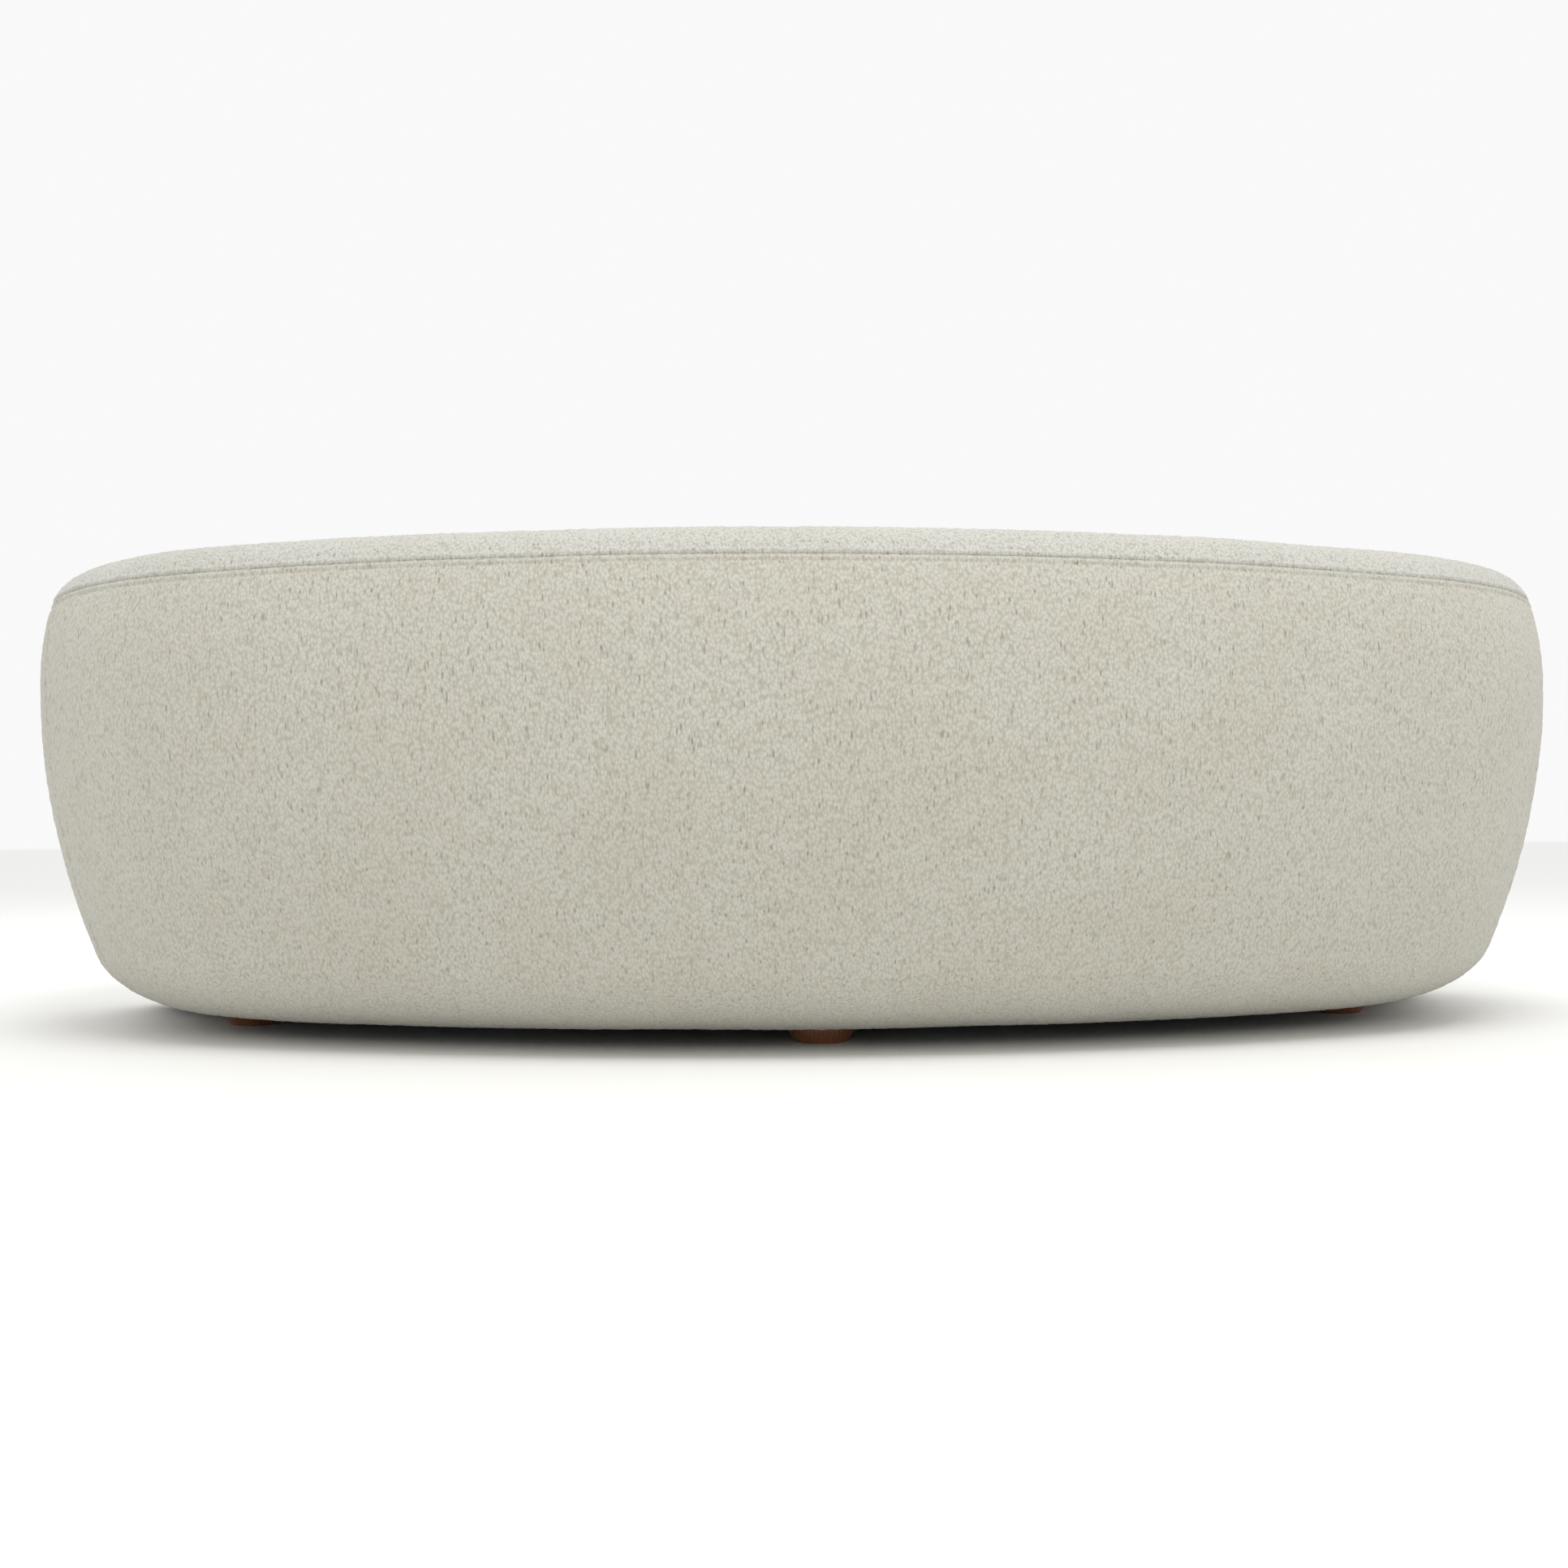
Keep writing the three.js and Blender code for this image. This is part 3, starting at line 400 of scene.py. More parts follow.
@dataclass
class WallPlan:
    """The plan and the profile of the upholstered wall, which every cover follows.

    The plan is a closed ring of tangent arcs: the back, an end arc on each side, the rounded front
    of each arm, and a shallow arc across the front.
    """

    height: float
    width: float = 2.380
    depth: float = 1.100
    back_radius: float = 2.100
    end_radius: float = 0.580
    wall: float = 0.215
    nose_setback: float = 0.107
    seam_angle: float = math.radians(60)
    hem_z: float = 0.025
    belly_below_top: float = 0.155
    lower_tuck: float = 0.120
    upper_tuck: float = 0.030
    front_tuck_share: float = 0.3
    tuck_ease_from: float = math.radians(75)
    top_corner: float = 0.042
    hem_corner_run: float = 0.130
    hem_corner_rise: float = 0.088
    hem_turn: float = 0.020
    back_rake: float = 0.060
    rake_ease: tuple[float, float] = (math.radians(35), math.radians(90))
    deck_z: float = 0.251
    deck_edge_corner: float = 0.012
    deck_edge_turn: float = 0.040
    deck_gap: float = 0.0005
    crown: float = 0.004
    flat_rows: int = 9
    hem_rows: int = 40
    face_rows: int = 60
    edge_rows: int = 30

    def __post_init__(self) -> None:
        """Works out the centres and the joining angles of the arcs."""
        self.nose_radius = self.wall / 2
        self.band_z = self.height - self.top_corner
        self.belly_z = self.height - self.belly_below_top
        reach = self.back_radius - self.end_radius
        self.end_angle = math.asin((self.width / 2 - self.end_radius) / reach)
        self.back_centre = np.array([0.0, self.depth / 2 - self.back_radius])
        self.end_centre = self.back_centre + reach * heading(np.array(self.end_angle))
        border_tuck = self.tuck_at(np.array(self.deck_z - self.deck_edge_corner))
        front_line = -self.depth / 2 - self.front_tuck_share * float(border_tuck)
        nose_y = front_line + self.nose_radius + self.nose_setback
        arm_reach = self.end_radius - self.nose_radius
        self.arm_angle = math.acos((nose_y - self.end_centre[1]) / arm_reach)
        self.nose_centre = self.end_centre + arm_reach * heading(np.array(self.arm_angle))
        nose_reach = self.nose_radius + self.nose_setback
        spread = self.nose_centre[0] ** 2 + nose_reach**2 - self.nose_radius**2
        self.front_radius = spread / (2 * self.nose_setback)
        self.front_centre = np.array([0.0, self.front_radius + front_line])
        turn = math.asin(self.nose_centre[0] / (self.front_radius - self.nose_radius))
        self.front_angle = math.pi - turn

    def tuck_at(self, z: np.ndarray) -> np.ndarray:
        """Returns how far the outside is drawn in at a height, apart from rounded edges."""
        below = self.lower_tuck * ((self.belly_z - z) / (self.belly_z - self.hem_z)) ** 2
        above = self.upper_tuck * ((z - self.belly_z) / (self.height - self.belly_z)) ** 2
        return np.where(z < self.belly_z, below, above)

    def rake_at(self, z: np.ndarray) -> np.ndarray:
        """Returns how far the inside of the back comes forward at a height."""
        return self.back_rake * np.clip((self.band_z - z) / (self.band_z - self.deck_z), 0, 1)

    def walls(self, angles: np.ndarray, inner: bool) -> Run:
        """Returns stations along the back and the arms, on the outside or the inside."""
        direction = heading(angles)
        in_back = np.abs(angles)[:, None] <= self.end_angle
        end_centre = self.end_centre * np.stack([np.sign(angles), np.ones_like(angles)], -1)
        centre = np.where(in_back, self.back_centre, end_centre)
        radius = np.where(in_back[:, 0], self.back_radius, self.end_radius)
        turn = np.abs(angles)
        nothing = np.zeros_like(angles)
        if inner:
            rake = 1 - ease(turn, *self.rake_ease)
            points = centre + (radius - self.wall)[:, None] * direction
            return Run(points, -direction, nothing, rake)
        tuck = 1 - (1 - self.front_tuck_share) * ease(turn, self.tuck_ease_from, self.arm_angle)
        return Run(centre + radius[:, None] * direction, direction, tuck, nothing)

    def nose(self, angles: np.ndarray) -> Run:
        """Returns stations round the front of the left arm."""
        direction = heading(angles)
        share = 1 - ease(angles, self.front_angle, self.arm_angle + math.pi)
        points = self.nose_centre + self.nose_radius * direction
        return Run(points, direction, self.front_tuck_share * share, np.zeros_like(angles))

    def front(self, angles: np.ndarray) -> Run:
        """Returns stations along the front of the seat."""
        direction = heading(angles)
        tuck = np.full_like(angles, self.front_tuck_share)
        points = self.front_centre + self.front_radius * direction
        return Run(points, direction, tuck, np.zeros_like(angles))

    def levels(
        self, z: np.ndarray, extra: np.ndarray | float = 0.0, corner: np.ndarray | float = 0.0
    ) -> Profile:
        """Returns levels at heights, with more tuck or corner where given."""
        return Profile(z, self.tuck_at(z) + extra, np.zeros_like(z) + corner, self.rake_at(z))

    def hem_levels(self) -> Profile:
        """Returns the turn under the hem and the rounded edge above it."""
        flat = np.full(self.flat_rows, self.hem_z)
        inward = np.linspace(self.hem_turn, 0, self.flat_rows)
        under = self.levels(flat, self.hem_corner_run, inward)
        turn = np.linspace(math.pi / 2, 0, self.hem_rows)
        z = self.hem_z + self.hem_corner_rise * (1 - np.sin(turn))
        return under.joined(self.levels(z, self.hem_corner_run * (1 - np.cos(turn))))

    def face_levels(self, low: float, high: float) -> Profile:
        """Returns the plain face between two heights."""
        return self.levels(np.linspace(low, high, self.face_rows))

    def edge_levels(self, top: float, radius: float) -> Profile:
        """Returns a rounded upper edge that ends at a height."""
        turn = np.linspace(0, math.pi / 2, self.edge_rows)
        z = top - radius * (1 - np.sin(turn))
        return self.levels(z, 0.0, radius * (1 - np.cos(turn)))


def even(make: Callable[[np.ndarray], Run], start: float, end: float, step: float) -> np.ndarray:
    """Returns angles that space a run's stations evenly by length.

    Args:
        make: Makes stations from angles.
        start: The first angle.
        end: The last angle.
        step: The usual distance between stations.
    """
    return spaced(make, start, end, lambda length: marks(length, step, step, 0.0, False, False))


def spaced(
    make: Callable[[np.ndarray], Run],
    start: float,
    end: float,
    places: Callable[[float], np.ndarray],
) -> np.ndarray:
    """Returns the angles of stations at given distances along a run.

    Args:
        make: Makes stations from angles.
        start: The first angle.
        end: The last angle.
        places: Gives the distances along the run, from its length.
    """
    dense = np.linspace(start, end, DENSE)
    along = lengths(make(dense).point)
    return np.interp(places(along[-1]), along, dense)


def surface(run: Run, profile: Profile) -> np.ndarray:
    """Returns the grid of points where a run's stations meet a profile's levels."""
    inset = run.tuck[:, None] * profile.tuck + profile.corner - run.rake[:, None] * profile.rake
    flat = run.point[:, None, :] - inset[..., None] * run.out[:, None, :]
    height = np.broadcast_to(profile.z, inset.shape)
    return np.concatenate([flat, height[..., None]], -1)


def normals(grid: np.ndarray, wrapped: bool = False) -> np.ndarray:
    """Returns unit normals of a grid of points.

    Args:
        grid: The points, along and then up.
        wrapped: Whether the last station is followed by the first.
    """
    padded = np.concatenate([grid[-2:-1], grid, grid[1:2]]) if wrapped else grid
    along = np.gradient(padded, axis=0)
    along = along[1:-1] if wrapped else along
    up = np.gradient(grid, axis=1)
    cross = np.cross(up, along)
    size = np.linalg.norm(cross, axis=-1, keepdims=True)
    return cross / np.maximum(size, 1e-12)


# ------------------------------------------------------------------ cloth and seams


@dataclass(frozen=True)
class Seam:
    """A sewn join in pile cloth: the pile parts over it and rolls up softly beside it."""

    groove: float = 0.0015
    groove_width: float = 0.0022
    roll: float = 0.0011
    roll_place: float = 0.0048
    roll_width: float = 0.0028
    stitch: float = 0.0011
    stitch_place: float = 0.0094
    pull: float = 0.0010
    pull_width: float = 0.016
    # How far painted shade darkens the groove, and how much of it the stitch line gets.
    shade: float = 0.08
    stitch_shade_share: float = 0.7

    def relief(self, distance: np.ndarray, topstitched: bool) -> np.ndarray:
        """Returns how far the cloth stands out at distances from the join."""
        rise = -self.groove * np.exp(-((distance / self.groove_width) ** 2))
        rise += self.roll * np.exp(-(((distance - self.roll_place) / self.roll_width) ** 2))
        rise -= self.pull * np.exp(-((distance / self.pull_width) ** 2))
        if topstitched:
            sewn = (distance - self.stitch_place) / self.groove_width
            rise -= self.stitch * np.exp(-(sewn**2))
        return rise

    def tone(self, distance: np.ndarray, topstitched: bool) -> np.ndarray:
        """Returns how much painted shade darkens the cloth at distances from the join."""
        dark = np.exp(-((distance / self.groove_width) ** 2))
        if topstitched:
            sewn = (distance - self.stitch_place) / self.groove_width
            dark += self.stitch_shade_share * np.exp(-(sewn**2))
        return self.shade * dark


@dataclass(frozen=True)
class Pile:
    """The shape of the pile's curls and the soft unevenness of the padding under them."""

    curl_size: float = 0.0105
    row_stretch: float = 0.6
    relief: float = 0.0020
    mean_height: float = 0.55
    swell_size: float = 0.19
    swell: float = 0.0022

    def height(self, points: np.ndarray) -> np.ndarray:
        """Returns how far the cloth stands out at each point of an array of points."""
        shape = points.shape[:-1]
        flat = points.reshape(-1, 3)
        scaled = flat / self.curl_size * np.array([1.0, 1.0, self.row_stretch])
        curls = np.array([noise.voronoi(Vector(p))[0][0] for p in scaled.tolist()])
        swell = np.array([noise.noise(Vector(p)) for p in (flat / self.swell_size).tolist()])
        rise = self.relief * (self.mean_height - np.minimum(curls, 1.0)) + self.swell * swell
        return rise.reshape(shape)


class Side(Enum):
    """The sitter's left or right, by the sign of X."""

    LEFT = 1
    RIGHT = -1


class Edge(Enum):
    """An edge of a panel of cloth."""

    START = "start"
    END = "end"
    LOW = "low"
    HIGH = "high"


def linked(name: str, data: ID) -> Object:
    """Makes an object of a mesh, a lamp or a lens, and links it to the scene."""
    made = bpy.data.objects.new(name, data)
    bpy.context.scene.collection.objects.link(made)
    return made


def object_from(
    name: str,
    vertices: np.ndarray,
    faces: list[tuple[int, ...]],
    tone: np.ndarray | None = None,
    weld: list[int] | None = None,
) -> Object:
    """Makes a mesh object with its faces pointing out.

    Args:
        name: The piece's name.
        vertices: Its points.
        faces: Its faces, as indices of points.
        tone: How much painted shade darkens the sewn lines, for the first points, or None.
        weld: The points to merge where they meet, or None.

    Returns:
        The object, smooth and linked to the scene.
    """
    mesh = bpy.data.meshes.new(name)
    mesh.from_pydata(vertices.tolist(), [], faces)
    if tone is not None:
        layer = mesh.attributes.new("seam", "FLOAT", "POINT")
        full = np.zeros(len(vertices), np.float32)
        full[: tone.size] = np.clip(tone.ravel(), 0, 1)
        layer.data.foreach_set("value", full)
    made = bmesh.new()
    made.from_mesh(mesh)
    if weld is not None:
        made.verts.ensure_lookup_table()
        bmesh.ops.remove_doubles(made, verts=[made.verts[i] for i in weld], dist=WELD)
    bmesh.ops.recalc_face_normals(made, faces=made.faces)
    made.to_mesh(mesh)
    made.free()
    mesh.shade_smooth()
    return linked(name, mesh)


def piece_of(name: str, made: bmesh.types.BMesh, finish: Finish) -> Object:
    """Makes a smooth object in one finish of a built shape, which is used up.

    Args:
        name: The piece's name.
        made: The built shape.
        finish: What the piece is made of.

    Returns:
        The object, linked to the scene.
    """
    mesh = bpy.data.meshes.new(name)
    made.to_mesh(mesh)
    made.free()
    mesh.shade_smooth()
    mesh.materials.append(finish.material())
    return linked(name, mesh)


def placed(piece: Object, body: str, node: str) -> Object:
    """Puts a piece on its body, in its node's place, and returns it."""
    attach(piece, body)
    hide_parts(node)
    log.info("%s: %d faces", piece.name, len(piece.data.polygons))
    return piece


def fan(fine: np.ndarray, coarse: np.ndarray) -> list[tuple[int, ...]]:
    """Joins an edge of small steps to an edge whose steps are STRIDE times as long."""
    faces = []
    half = STRIDE // 2
    for i in range(len(coarse) - 1):
        start = i * STRIDE
        faces += [(fine[j], fine[j + 1], coarse[i]) for j in range(start, start + half)]
        faces.append((fine[start + half], coarse[i + 1], coarse[i]))
        faces += [(fine[j], fine[j + 1], coarse[i + 1]) for j in range(start + half, start + STRIDE)]
    return [tuple(int(k) for k in face) for face in faces]


def grid_faces(index: np.ndarray) -> list[tuple[int, ...]]:
    """Returns the four-sided faces of a grid of point numbers."""
    corners = [index[:-1, :-1], index[1:, :-1], index[1:, 1:], index[:-1, 1:]]
    return [tuple(face) for face in np.stack([c.ravel() for c in corners], -1).tolist()]


@dataclass
class ClothMaker:
    """Makes closed shells of pile cloth, with the pile's shape on their outer face."""

    pile: Pile
    seam: Seam
    finish: Finish
    thickness: float = 0.0035
    step: float = 0.0047
    fine: float = 0.0019
    reach: float = 0.020

    def places(self, length: float, start: bool, end: bool) -> np.ndarray:
        """Returns marks along a length of cloth."""
        return marks(length, self.step, self.fine, self.reach, start, end)

    def panel(self, name: str, run: Run, profile: Profile, sewn: set[Edge]) -> Object:
        """Makes a panel over a run of stations and a profile.

        Args:
            name: The piece's name.
            run: The stations along the panel.
            profile: The levels up the panel.
            sewn: The edges that are sewn to a neighbour.

        Returns:
            The panel.
        """
        base = surface(run, profile)
        facing = normals(base)
        facing *= np.sign(np.sum(facing[..., :2] * run.out[:, None, :], -1).mean())
        along = lengths(run.point)[:, None] + np.zeros(base.shape[:2])
        up = profile.along()[None, :] + np.zeros(base.shape[:2])
        away = {
            Edge.START: along,
            Edge.END: along.max() - along,
            Edge.LOW: up,
            Edge.HIGH: up.max() - up,
        }
        rise = self.pile.height(base)
        # Painted shade along the sewn edges, which the pile's colour reads from the seam attribute.
        tone = np.zeros(base.shape[:2])
        for edge in sorted(sewn, key=lambda e: e.value):
            topstitched = edge is Edge.HIGH
            rise += self.seam.relief(away[edge], topstitched)
            tone += self.seam.tone(away[edge], topstitched)
        outer = base + facing * rise[..., None]
        inner = (base - facing * self.thickness)[::STRIDE, ::STRIDE]
        piece = object_from(name, *self.shell(outer, inner), tone)
        piece.data.materials.append(self.finish.material())
        return piece

    @staticmethod
    def shell(outer: np.ndarray, inner: np.ndarray) -> tuple[np.ndarray, list[tuple[int, ...]]]:
        """Closes a fine outer grid with a coarse inner one."""
        top = np.arange(outer[..., 0].size).reshape(outer.shape[:2])
        low = top.size + np.arange(inner[..., 0].size).reshape(inner.shape[:2])
        faces = grid_faces(top) + grid_faces(low)
        for side in (np.s_[0, :], np.s_[-1, :], np.s_[:, 0], np.s_[:, -1]):
            faces += fan(top[side], low[side])
        return np.concatenate([outer.reshape(-1, 3), inner.reshape(-1, 3)]), faces

    def band(self, name: str, plan: WallPlan) -> Object:
        """Makes the band that lies over the top edge of the back and both arms.

        Args:
            name: The piece's name.
            plan: The wall that the band goes round.

        Returns:
            The band, a closed shell whose rows run from its rim to the middle of the wall.
        """
        turns = even(lambda a: plan.walls(a, False), -plan.arm_angle, plan.arm_angle, self.step)
        nose_turns = even(plan.nose, plan.arm_angle, plan.arm_angle + math.pi, self.step)
        nose = plan.nose(nose_turns)
        ring = plan.walls(turns, False).joined(nose).joined(plan.walls(turns, True).backwards())
        ring = ring.joined(nose.mirrored())
        ring = Run(*[part[:-1] for part in ring.parts()])
        edge = plan.edge_levels(plan.height, plan.top_corner)
        edge = edge.at(self.places(edge.along()[-1], True, False))
        rounded = surface(ring, edge)
        share = np.linspace(0, 1, 2 * STRIDE + 1)[1:]
        start = ring.tuck * edge.tuck[-1] + edge.corner[-1]
        inset = start[:, None] + (plan.wall / 2 - start)[:, None] * share
        flat = ring.point[:, None, :] - inset[..., None] * ring.out[:, None, :]
        z = plan.height + plan.crown * (1 - (1 - share) ** 2) + np.zeros(inset.shape)
        base = np.concatenate([rounded, np.concatenate([flat, z[..., None]], -1)], 1)
        facing = normals(base, wrapped=True)
        facing *= np.sign(facing[:, -6, 2].mean())
        facing[:, -1] = (0, 0, 1)
        up = np.concatenate([edge.along(), np.full(len(share), 1.0)])
        distance = up[None, :] + np.zeros(base.shape[:2])
        rise = self.pile.height(base) + self.seam.relief(distance, False)
        outer = base + facing * rise[..., None]
        inner = (base - facing * self.thickness)[::STRIDE, ::STRIDE]
        top = np.arange(outer[..., 0].size).reshape(outer.shape[:2])
        low = top.size + np.arange(inner[..., 0].size).reshape(inner.shape[:2])
        middle = [int(i) for i in np.concatenate([top[:, -1], low[:, -1]])]
        top = np.concatenate([top, top[:1]])
        low = np.concatenate([low, low[:1]])
        faces = grid_faces(top) + grid_faces(low) + fan(top[:, 0], low[:, 0])
        vertices = np.concatenate([outer.reshape(-1, 3), inner.reshape(-1, 3)])
        # Painted shade along the band's sewn rim.
        piece = object_from(name, vertices, faces, self.seam.tone(distance, False), middle)
        piece.data.materials.append(self.finish.material())
        return piece


@dataclass
class UpholsteredWall:
    """The covers of the back, the arms and the front border, sewn from panels and a top band."""

    plan: WallPlan
    cloth: ClothMaker
    band_cloth: ClothMaker

    def angles(
        self, make: Callable[[np.ndarray], Run], start: float, end: float, sewn: tuple[bool, bool]
    ) -> np.ndarray:
        """Returns the angles of a stretch's stations, closer together near its sewn ends."""
        return spaced(make, start, end, lambda length: self.cloth.places(length, *sewn))

    def outer(self, turns: np.ndarray) -> Run:
        """Returns stations on the outside of the wall."""
        return self.plan.walls(turns, False)

    def inner(self, turns: np.ndarray) -> Run:
        """Returns stations on the inside of the wall."""
        return self.plan.walls(turns, True)

    def build(self) -> list[Object]:
        """Makes every cover of the wall, on the frame.

        Returns:
            The covers.
        """
        plan = self.plan
        seam, arm, front = plan.seam_angle, plan.arm_angle, plan.front_angle
        above_hem = plan.face_levels(plan.hem_z + plan.hem_corner_rise, plan.band_z)
        outside = plan.hem_levels().joined(above_hem)
        inside = plan.face_levels(plan.deck_z + plan.deck_gap, plan.band_z)
        outside = outside.at(self.cloth.places(outside.along()[-1], False, True))
        inside = inside.at(self.cloth.places(inside.along()[-1], False, True))
        outer_back = self.outer(self.angles(self.outer, -seam, seam, (True, True)))
        inner_back = self.inner(self.angles(self.inner, -seam, seam, (True, True)))
        outer_arm = self.outer(self.angles(self.outer, seam, arm, (True, False)))
        outer_arm = outer_arm.joined(plan.nose(self.angles(plan.nose, arm, front, (False, True))))
        inner_nose = plan.nose(self.angles(plan.nose, front, arm + math.pi, (True, False)))
        inner_arm = self.inner(self.angles(self.inner, seam, arm, (True, False))).backwards()
        inner_arm = inner_nose.joined(inner_arm)
        sewn = {Edge.START, Edge.END, Edge.HIGH}
        made = [
            self.panel("outer_back_panel", outer_back, outside, sewn, "outer_back_cover"),
            self.panel("inside_back_panel", inner_back, inside, sewn, "inside_back_cover"),
        ]
        for side in Side:
            word = side.name.lower()
            for face, run, levels in (("outside", outer_arm, outside), ("inside", inner_arm, inside)):
                own = run if side is Side.LEFT else run.mirrored()
                name = f"{word}_{face}_arm"
                made.append(self.panel(f"{name}_panel", own, levels, sewn, f"{name}_cover"))
        made.append(self.border())
        band = self.band_cloth.band("top_band", plan)
        made.append(placed(band, "frame", "top_band_cover"))
        return made

    def panel(self, name: str, run: Run, profile: Profile, sewn: set[Edge], node: str) -> Object:
        """Makes a panel that stands for a node."""
        return placed(self.cloth.panel(name, run, profile, sewn), "frame", node)

    def border(self) -> Object:
        """Makes the front border, from under the hem to its turn over the edge of the deck."""
        plan = self.plan
        turns = self.angles(plan.front, plan.front_angle, 2 * math.pi - plan.front_angle, (True, True))
        low = plan.hem_z + plan.hem_corner_rise
        corner = plan.deck_edge_corner
        levels = plan.hem_levels().joined(plan.face_levels(low, plan.deck_z - corner))
        levels = levels.joined(plan.edge_levels(plan.deck_z, corner))
        turned = np.linspace(corner, corner + plan.deck_edge_turn, plan.flat_rows)
        flat = np.full(plan.flat_rows, plan.deck_z)
        levels = levels.joined(plan.levels(flat, 0.0, turned))
        levels = levels.at(self.cloth.places(levels.along()[-1], False, False))
        sewn = {Edge.START, Edge.END}
        return self.panel("front_border_panel", plan.front(turns), levels, sewn, "front_border_cover")


# ------------------------------------------------------------------ seat cushions and foams


def apply_modifiers(piece: Object) -> None:
    """Makes a piece's mesh what its modifiers show, and takes them off."""
    graph = bpy.context.evaluated_depsgraph_get()
    shown = bpy.data.meshes.new_from_object(piece.evaluated_get(graph))
    piece.modifiers.clear()
    piece.data = shown


def points_of(piece: Object, what: str = "co") -> np.ndarray:
    """Returns a piece's points, or their normals."""
    values = np.zeros(len(piece.data.vertices) * 3, np.float32)
    if what == "co":
        piece.data.vertices.foreach_get("co", values)
    else:
        piece.data.vertex_normals.foreach_get("vector", values)
    return values.reshape(-1, 3).astype(float)


def set_points(piece: Object, points: np.ndarray) -> None:
    """Moves a piece's points."""
    piece.data.vertices.foreach_set("co", points.astype(np.float32).ravel())
    piece.data.update()


def remeshed(node: Object, name: str, voxel: float, smoothing: int) -> Object:
    """Copies a node's shape into a new piece of even small faces.

    Args:
        node: The node to copy.
        name: The new piece's name.
        voxel: The size of its faces.
        smoothing: How many times it is smoothed.

    Returns:
        The new piece.
    """
    piece = linked(name, node.data.copy())
    piece.data.materials.clear()
    remesh = piece.modifiers.new("even", "REMESH")
    remesh.mode = "VOXEL"
    remesh.voxel_size = voxel
    smooth = piece.modifiers.new("soft", "SMOOTH")
    smooth.iterations = smoothing
    apply_modifiers(piece)
    piece.data.name = name
    piece.data.shade_smooth()
    return piece


@dataclass
class SeatCushion:
    """A loose seat cushion: a pile cover blown full over a foam core, seamed round both faces."""

    side: Side
    core: Object
    cloth: ClothMaker
    voxel: float = 0.009
    pressure: float = 4.0
    frames: int = 18
    ease_out: float = 0.003
    most_up: float = 0.013
    most_out: float = 0.0015
    seam_inset: float = 0.026
    seam_fades: tuple[float, float] = (0.75, 0.95)
    floor_gap: float = 0.0012
    middle_gap: float = 0.0035
    crown: float = 0.014
    rest_height: float = 0.02

    def build(self) -> Object:
        """Makes the cushion's cover, in the body that lifts out.

        Returns:
            The cushion.
        """
        word = self.side.name.lower()
        piece = remeshed(self.core, f"{word}_seat_cushion", self.voxel, smoothing=4)
        low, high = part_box(f"{word}_cushion_cover")
        set_points(piece, points_of(piece) + points_of(piece, "normal") * self.ease_out)
        self.blow(piece)
        self.settle(piece, low.z + self.floor_gap)
        finer = piece.modifiers.new("finer", "SUBSURF")
        finer.levels = finer.render_levels = 1
        apply_modifiers(piece)
        self.dress(piece, low.z, high.z)
        placed(piece, f"{word}_cushion", f"{word}_cushion_cover")
        return piece

    def blow(self, piece: Object) -> None:
        """Blows the cover up by cloth simulation, and keeps each point near where it began."""
        start = points_of(piece)
        sideways = 1 - np.abs(points_of(piece, "normal")[:, 2])
        cloth = piece.modifiers.new("cloth", "CLOTH")
        cloth.settings.quality = 4
        cloth.settings.mass = 0.3
        cloth.settings.use_pressure = True
        cloth.settings.uniform_pressure_force = self.pressure
        cloth.settings.effector_weights.gravity = 0.0
        cloth.point_cache.frame_start = 1
        cloth.point_cache.frame_end = self.frames
        for number in range(1, self.frames + 1):
            bpy.context.scene.frame_set(number)
        apply_modifiers(piece)
        bpy.context.scene.frame_set(1)
        moved = points_of(piece) - start
        most = self.most_up + (self.most_out - self.most_up) * sideways
        far = np.linalg.norm(moved, axis=1)
        keep = np.minimum(1.0, most / np.maximum(far, 1e-9))
        set_points(piece, start + moved * keep[:, None])

    def settle(self, piece: Object, floor: float) -> None:
        """Keeps the cushion on the deck and on its own side of the sofa."""
        points = points_of(piece)
        points[:, 2] = np.maximum(points[:, 2], floor)
        sign = self.side.value
        points[:, 0] = sign * np.maximum(sign * points[:, 0], self.middle_gap)
        set_points(piece, points)

    def dress(self, piece: Object, low: float, high: float) -> None:
        """Presses in the two seams, paints shade along them and raises the pile."""
        points = points_of(piece)
        facing = points_of(piece, "normal")
        seam = self.cloth.seam
        upright = 1 - ease(np.abs(facing[:, 2]), *self.seam_fades)
        rise = self.cloth.pile.height(points)
        # Painted shade along the two seams.
        tone = np.zeros(len(points))
        rim = high - self.crown - self.seam_inset
        for level in (low + self.seam_inset, rim):
            distance = np.abs(points[:, 2] - level)
            rise += seam.relief(distance, False) * upright
            tone += seam.tone(distance, False) * upright
        at_rest = ease(points[:, 2], low, low + self.rest_height)
        set_points(piece, points + facing * (rise * at_rest)[:, None])
        layer = piece.data.attributes.new("seam", "FLOAT", "POINT")
        layer.data.foreach_set("value", np.clip(tone, 0, 1).astype(np.float32))
        piece.data.materials.clear()
        piece.data.materials.append(self.cloth.finish.material())


@dataclass
class FoamBlock:
    """A cut block of upholstery foam under a cover."""

    node: Object
    body: str
    finish: Finish
    inset: float = 0.0
    voxel: float = 0.011
    unevenness: float = 0.0006
    wave_size: float = 0.03

    def build(self) -> Object:
        """Makes the block, with its sawn edges a little softened.

        Returns:
            The block.
        """
        name = self.node.name.replace("_foam", "_foam_block").replace("_core", "_foam_block")
        piece = remeshed(self.node, name, self.voxel, smoothing=2)
        points = points_of(piece)
        wave = np.array([noise.noise(Vector(p)) for p in (points / self.wave_size).tolist()])
        inward = self.inset + self.unevenness * (1 + wave)
        set_points(piece, points - points_of(piece, "normal") * inward[:, None])
        piece.data.materials.append(self.finish.material())
        placed(piece, self.body, self.node.name)
        return piece


